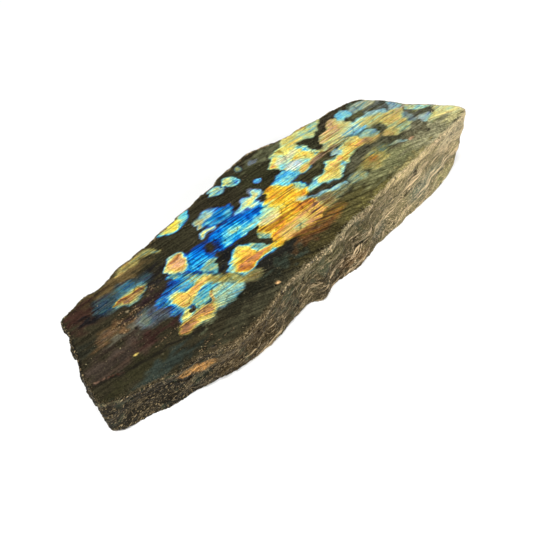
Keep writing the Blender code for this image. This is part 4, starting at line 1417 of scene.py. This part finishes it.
def polished_face():
    """The look of the polished face."""
    paint, surface, place = new_paint("polished labradorite")
    tree = paint.node_tree
    along, across = coordinate(place, "X"), coordinate(place, "Y")
    in_front = remapped(across, *STEEP_LAYERS)

    def streaks(length, width):
        """Streaks that turn towards the front."""
        turned = [use(STREAKS, Place=place, Turn=turn, Reach=(length, width, length))
                  for turn in (LAYERS_TURN, FRONT_LAYERS_TURN)]
        return blended(in_front, *turned)

    def speckles(size, level):
        """Grains of the rock."""
        return use(SPECKLES, Place=place, Size=size, Level=level)

    broad, thin = streaks(22.0, 1.5), streaks(9.0, 0.42)
    strands, fine = streaks(26.0, 0.42), streaks(13.0, 0.26)
    both = broad + thin - 1.0
    grain = clouds(place, 1.5, 3.0, 0.7)
    # where a flash shows
    lined = attribute(tree, "lines")
    covered = attribute(tree, "cover")
    jitter = both * remapped(covered, -1.0, -0.5, 0.0, 0.65) * (lined + 0.3)
    dark_line = remapped(strands, 0.42, 0.24) * (lined + 0.1)
    shown = remapped(covered + jitter, -0.95, 0.35) * (1.0 - dark_line * 0.65) * attribute(tree, "glow")
    # its colour
    patches = clouds(place, 0.35, 3.0)
    shift = both * lined * 0.19 + dark_line * 0.14 + (fine - 0.5) * 0.17 + (patches - 0.5) * 0.24
    # a painted sheen of the sky whitens the flashes as far as the sheen attribute says
    sheened = maths("MULTIPLY", attribute(tree, "sheen"), remapped(thin, 0.2, 0.7, 0.5, 1.5), clamp=True)
    flashes = mixed(sheened, film_ramp(attribute(tree, "layer") + shift), PALE_SHEEN)
    light = remapped(fine, 0.1, 0.9, 0.52, 1.36) * remapped(grain, 0.34, 0.66, 0.65, 1.36)
    hairline = use(CRACKS, Place=place, Turn=CRACKS_TURN, Reach=(9, 5, 9), Width=0.04, Share=0.52)
    flashes = lit(flashes, light * remapped(hairline, 0.0, 1.0, 1.0, 0.4))
    # the ground under it: brushed, and grainier towards the thick end
    brushed = remapped(thin, 0.0, 1.0, 0.85, 1.15) * remapped(strands, 0.38, 0.2, 1.0, 0.6)
    brushed = blended(remapped(along, *CALM_END, 0.0, 0.65), brushed, 0.95)
    light = remapped(broad, 0.0, 1.0, 0.52, 0.98) * brushed * remapped(grain, 0.34, 0.66, 0.7, 1.35)
    front_strip = remapped(across, *COARSE_FRONT[0]) * remapped(along, *COARSE_FRONT[1])
    rough_grain = remapped(clouds(place, 0.9, 4.0, 0.85), 0.36, 0.64, 0.62, 1.42)
    rough_grain = rough_grain * remapped(streaks(10.0, 0.8), 0.4, 0.18, 1.0, 0.6)
    light = light * blended(largest(remapped(along, *COARSE_END), front_strip), 1.0, rough_grain)
    dark_ground = lit(attribute(tree, "ground", "Color"), light)
    dark_ground = mixed(speckles(0.8, 0.62) * 0.22, dark_ground, GRAIN_COLOURS["dull"])
    dark_ground = mixed(speckles(1.0, 0.69) * 0.6, dark_ground, GRAIN_COLOURS["bright"])
    colour = mixed(shown, dark_ground, flashes)
    # seams, painted shade in pits, crumbs and the worn edge
    crumb = speckles(0.6, 0.54) * attribute(tree, "crumbled")
    colour = mixed(crumb * 0.7, colour, CRUMBS)
    # the dark of the pits and of the bruised patches' tiny pits is painted shade; the seams are the stone's
    # own
    dark = largest(attribute(tree, "seam_and_pit_shade"), speckles(0.8, 0.54) * attribute(tree, "bruised"))
    colour = mixed(dark * 0.85, colour, DARK_SEAMS_AND_PIT_SHADE)
    front = remapped(across, *WORN_FRONT)
    to_rim = attribute(tree, "rim")
    wear = use(WEAR, Place=place, Rim=to_rim, Width=remapped(front, 0.0, 1.0, 0.3, 0.9))
    grains = speckles(0.55, 0.57)
    near_rim = remapped(to_rim, 3.0, 0.3) * front
    wear = largest(wear * remapped(grains, 0.0, 1.0, 0.35, 1.0), grains * (near_rim * 0.85))
    colour = mixed(wear * 0.85, colour, mixed(remapped(along, *WORN_PALER), *WORN_COLOURS))
    fill(surface, "Base Color", colour)
    # polish
    fill(surface, "Roughness", maths("ADD", wear * 0.5, 0.2, clamp=True))
    fill(surface, "Metallic", shown * 0.2)
    fill(surface, "Coat Weight", maths("SUBTRACT", 1.0, wear, clamp=True) * 0.15)
    fill(surface, "Coat Roughness", 0.12)
    fill(surface, "Specular IOR Level", 0.35)
    # damage and the bruised edge catch the light
    roughen(surface, crumb * 0.03 - dark * 0.03 + speckles(0.5, 0.5) * wear * 0.04, 0.6, MM)
    return paint


polished = polished_face()
print("polished face:", len(polished.node_tree.nodes), "nodes")

# %% [markdown]
# The broken walls are the same mineral, but a break scatters light, so it looks paler and browner than the
# polish. Their light and shade is painted into the colour as well: what stands out is painted lighter, and
# what lies deep is painted in shade. Thin streaks climb along the layers. Long pale threads, the rims of
# broken plates, and the crumbs and specks that make the upper edge and the thin end grainy are a pale tan
# that is partly the stone's own worn colour and partly painted glints of small facets that catch the light.
# Here and there a clean little facet still shines.

# %% Broken walls
GREEN_STONE = opaque(64, 74, 58)
# pale tan of worn threads and grains, mixed with painted glints of small facets that catch the light
PALE_TAN_AND_GLINT = opaque(192, 168, 126), opaque(236, 208, 164)  # at the thin end and at the thick one
DEEP_CRACK = opaque(16, 13, 9)
THIN_END = -50.0, -70.0  # between these millimetres along the stone it begins
WALL_PALER = -90.0, 50.0


def broken_wall():
    """The look of the broken walls."""
    paint, surface, place = new_paint("broken labradorite")
    tree = paint.node_tree
    along = coordinate(place, "X")
    thin_end = remapped(along, *THIN_END)
    sparse = remapped(thin_end, 0.0, 1.0, 1.0, 0.3)  # threads and crumbs are few at the thin end
    to_rim = attribute(tree, "rim")

    def streaks(length, width, climb=GRAIN_CLIMB):
        """Streaks that climb along the stone."""
        return use(STREAKS, Place=place, Axis=(0, 1, 0), Turn=climb, Reach=(length, 0.5 * length, width))

    def plates(length, width, climb, line, share):
        """The borders of long plates that climb along the stone."""
        reach = length, 0.6 * length, width
        return use(CRACKS, Place=place, Axis=(0, 1, 0), Turn=climb, Reach=reach, Width=line, Share=share)

    def threads(length, width, climb, level):
        """Thin long lines: where a streak is half bright, and a broader one lets them show."""
        off = maths("ABSOLUTE", streaks(length, width, climb) - 0.5)
        shows = remapped(streaks(0.8 * length, 3 * width, climb), level, level + 0.15)
        return remapped(off, 0.13, 0.03) * shows

    def speckles(size, level):
        """Grains of the rock."""
        return use(SPECKLES, Place=place, Size=size, Level=level)

    # painted light and shade: raised relief painted lighter and hollows darker, varied by streaks and grit
    thin = streaks(6.0, 0.32)
    gritty = clouds(place, 1.8, 4.0, 0.8)
    height = attribute(tree, "relief") + (streaks(14.0, 2.0) - 0.5) * 0.5
    light = remapped(height, -0.8, 0.75, 0.5, 1.1) * remapped(thin, 0.0, 1.0, 0.5, 1.3)
    light = light * remapped(streaks(2.6, 0.7, 1.5 * GRAIN_CLIMB), 0.0, 1.0, 0.82, 1.18)
    colour = lit(attribute(tree, "ground", "Color"), light * remapped(gritty, 0.36, 0.64, 0.44, 1.58))
    waves = clouds(place, 0.16, 2.0)
    colour = mixed(remapped(waves, 0.54, 0.68) * 0.4, colour, GREEN_STONE)
    # pale threads and rims of plates, most of them low on the wall: worn tan mixed with painted glints
    splints_and_glints = largest(threads(44.0, 1.5, 0.9 * GRAIN_CLIMB, 0.62),
                      threads(18.0, 1.1, 1.4 * GRAIN_CLIMB, 0.68) * 0.8)
    plate_rims_and_glints = largest(plates(7.0, 2.2, 1.2 * GRAIN_CLIMB, 0.045, 0.42),
                         plates(3.6, 1.3, 2.5 * GRAIN_CLIMB, 0.06, 0.4) * 0.7)
    plate_rims_and_glints = plate_rims_and_glints * remapped(gritty, 0.38, 0.54, 0.4, 1.0)
    long_marks_and_glints = largest(plate_rims_and_glints, splints_and_glints) * (remapped(to_rim, 4.0, 9.0, 0.2, 0.85) * sparse)
    # grains and crumbs along the upper edge, grains at the thin end, and specks towards the thick end;
    # their pale is partly the stone's own and partly painted glints
    grainy = largest(remapped(to_rim, 3.0, 1.0, 0.0, 0.8), remapped(thin_end, 0.0, 1.0, 0.3, 0.65))
    grains = remapped(streaks(1.1, 0.42, 2 * GRAIN_CLIMB), 0.76, 0.94) * grainy
    crumbs_and_glints = speckles(0.7, 0.53) * remapped(to_rim, 3.5, 0.8) * sparse
    crumbs_and_glints = crumbs_and_glints * remapped(waves, 0.38, 0.56, 0.25, 1.0)
    specks_and_glints = speckles(0.6, 0.57) * remapped(along, *COARSE_END, 0.05, 0.7)
    pale = largest(long_marks_and_glints, grains, crumbs_and_glints, specks_and_glints)
    # the pale marks: partly worn tan, partly painted glints
    colour = mixed(pale * 0.82, colour, mixed(remapped(along, *WALL_PALER), *PALE_TAN_AND_GLINT))
    crack = plates(14.0, 2.8, 2.0 * GRAIN_CLIMB, 0.07, 0.45)
    fill(surface, "Base Color", mixed(crack * 0.9, colour, DEEP_CRACK))
    fill(surface, "Roughness", 0.75 - speckles(1.6, 0.6) * 0.35)
    fill(surface, "Specular IOR Level", 0.1)
    roughen(surface, thin * 0.12 + pale * 0.14 - crack * 0.18, 0.8, MM)
    return paint


broken = broken_wall()
print("broken walls:", len(broken.node_tree.nodes), "nodes")

# %% [markdown]
# The back was sawn and never polished. It is grey-olive and dull, with faint parallel marks of the saw.

# %% Sawn back
SAW_TURN = math.radians(74)
BACK_COLOURS = opaque(82, 78, 62), opaque(116, 110, 88)
SAW_MARKS = opaque(150, 145, 125)


def sawn_back():
    """The look of the sawn back."""
    paint, surface, place = new_paint("sawn labradorite")
    marks = use(STREAKS, Place=place, Turn=SAW_TURN, Reach=(80, 0.5, 80))
    layers = use(STREAKS, Place=place, Turn=LAYERS_TURN, Reach=(18, 2, 18))
    fill(surface, "Base Color", mixed(marks * 0.3, mixed(layers, *BACK_COLOURS), SAW_MARKS))
    fill(surface, "Roughness", 0.75)
    roughen(surface, marks, 0.3, 0.1 * MM)
    return paint


sawn = sawn_back()
print("sawn back:", len(sawn.node_tree.nodes), "nodes")

# %% [markdown]
# Each triangle gets one of the three finishes, by where its corners lie: on the back, on the face, or on the
# walls in between.

# %% Give each triangle its finish
POLISH_BEGINS = 0.25  # millimetres from the rim
BACK_ENDS = 0.01  # millimetres over the ground
FINISHES = (polished, broken, sawn)


def finish_of(triangle):
    """A triangle's material."""
    corners = list(triangle.vertices)
    if all(points[corner][2] < BACK_ENDS for corner in corners):
        return sawn
    if all(rim[corner] > POLISH_BEGINS and (under[corner] < EDGE_TOP or sunk[corner] > 0)
           for corner in corners):
        return polished
    return broken


stone.data.materials.clear()
for finish in FINISHES:
    stone.data.materials.append(finish)
for triangle in stone.data.polygons:
    triangle.material_index = FINISHES.index(finish_of(triangle))
counts = np.bincount([triangle.material_index for triangle in stone.data.polygons])
print("triangles polished, broken, sawn:", counts)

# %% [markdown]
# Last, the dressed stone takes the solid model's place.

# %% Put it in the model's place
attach(stone, "root")
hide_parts("labradorite_slab")
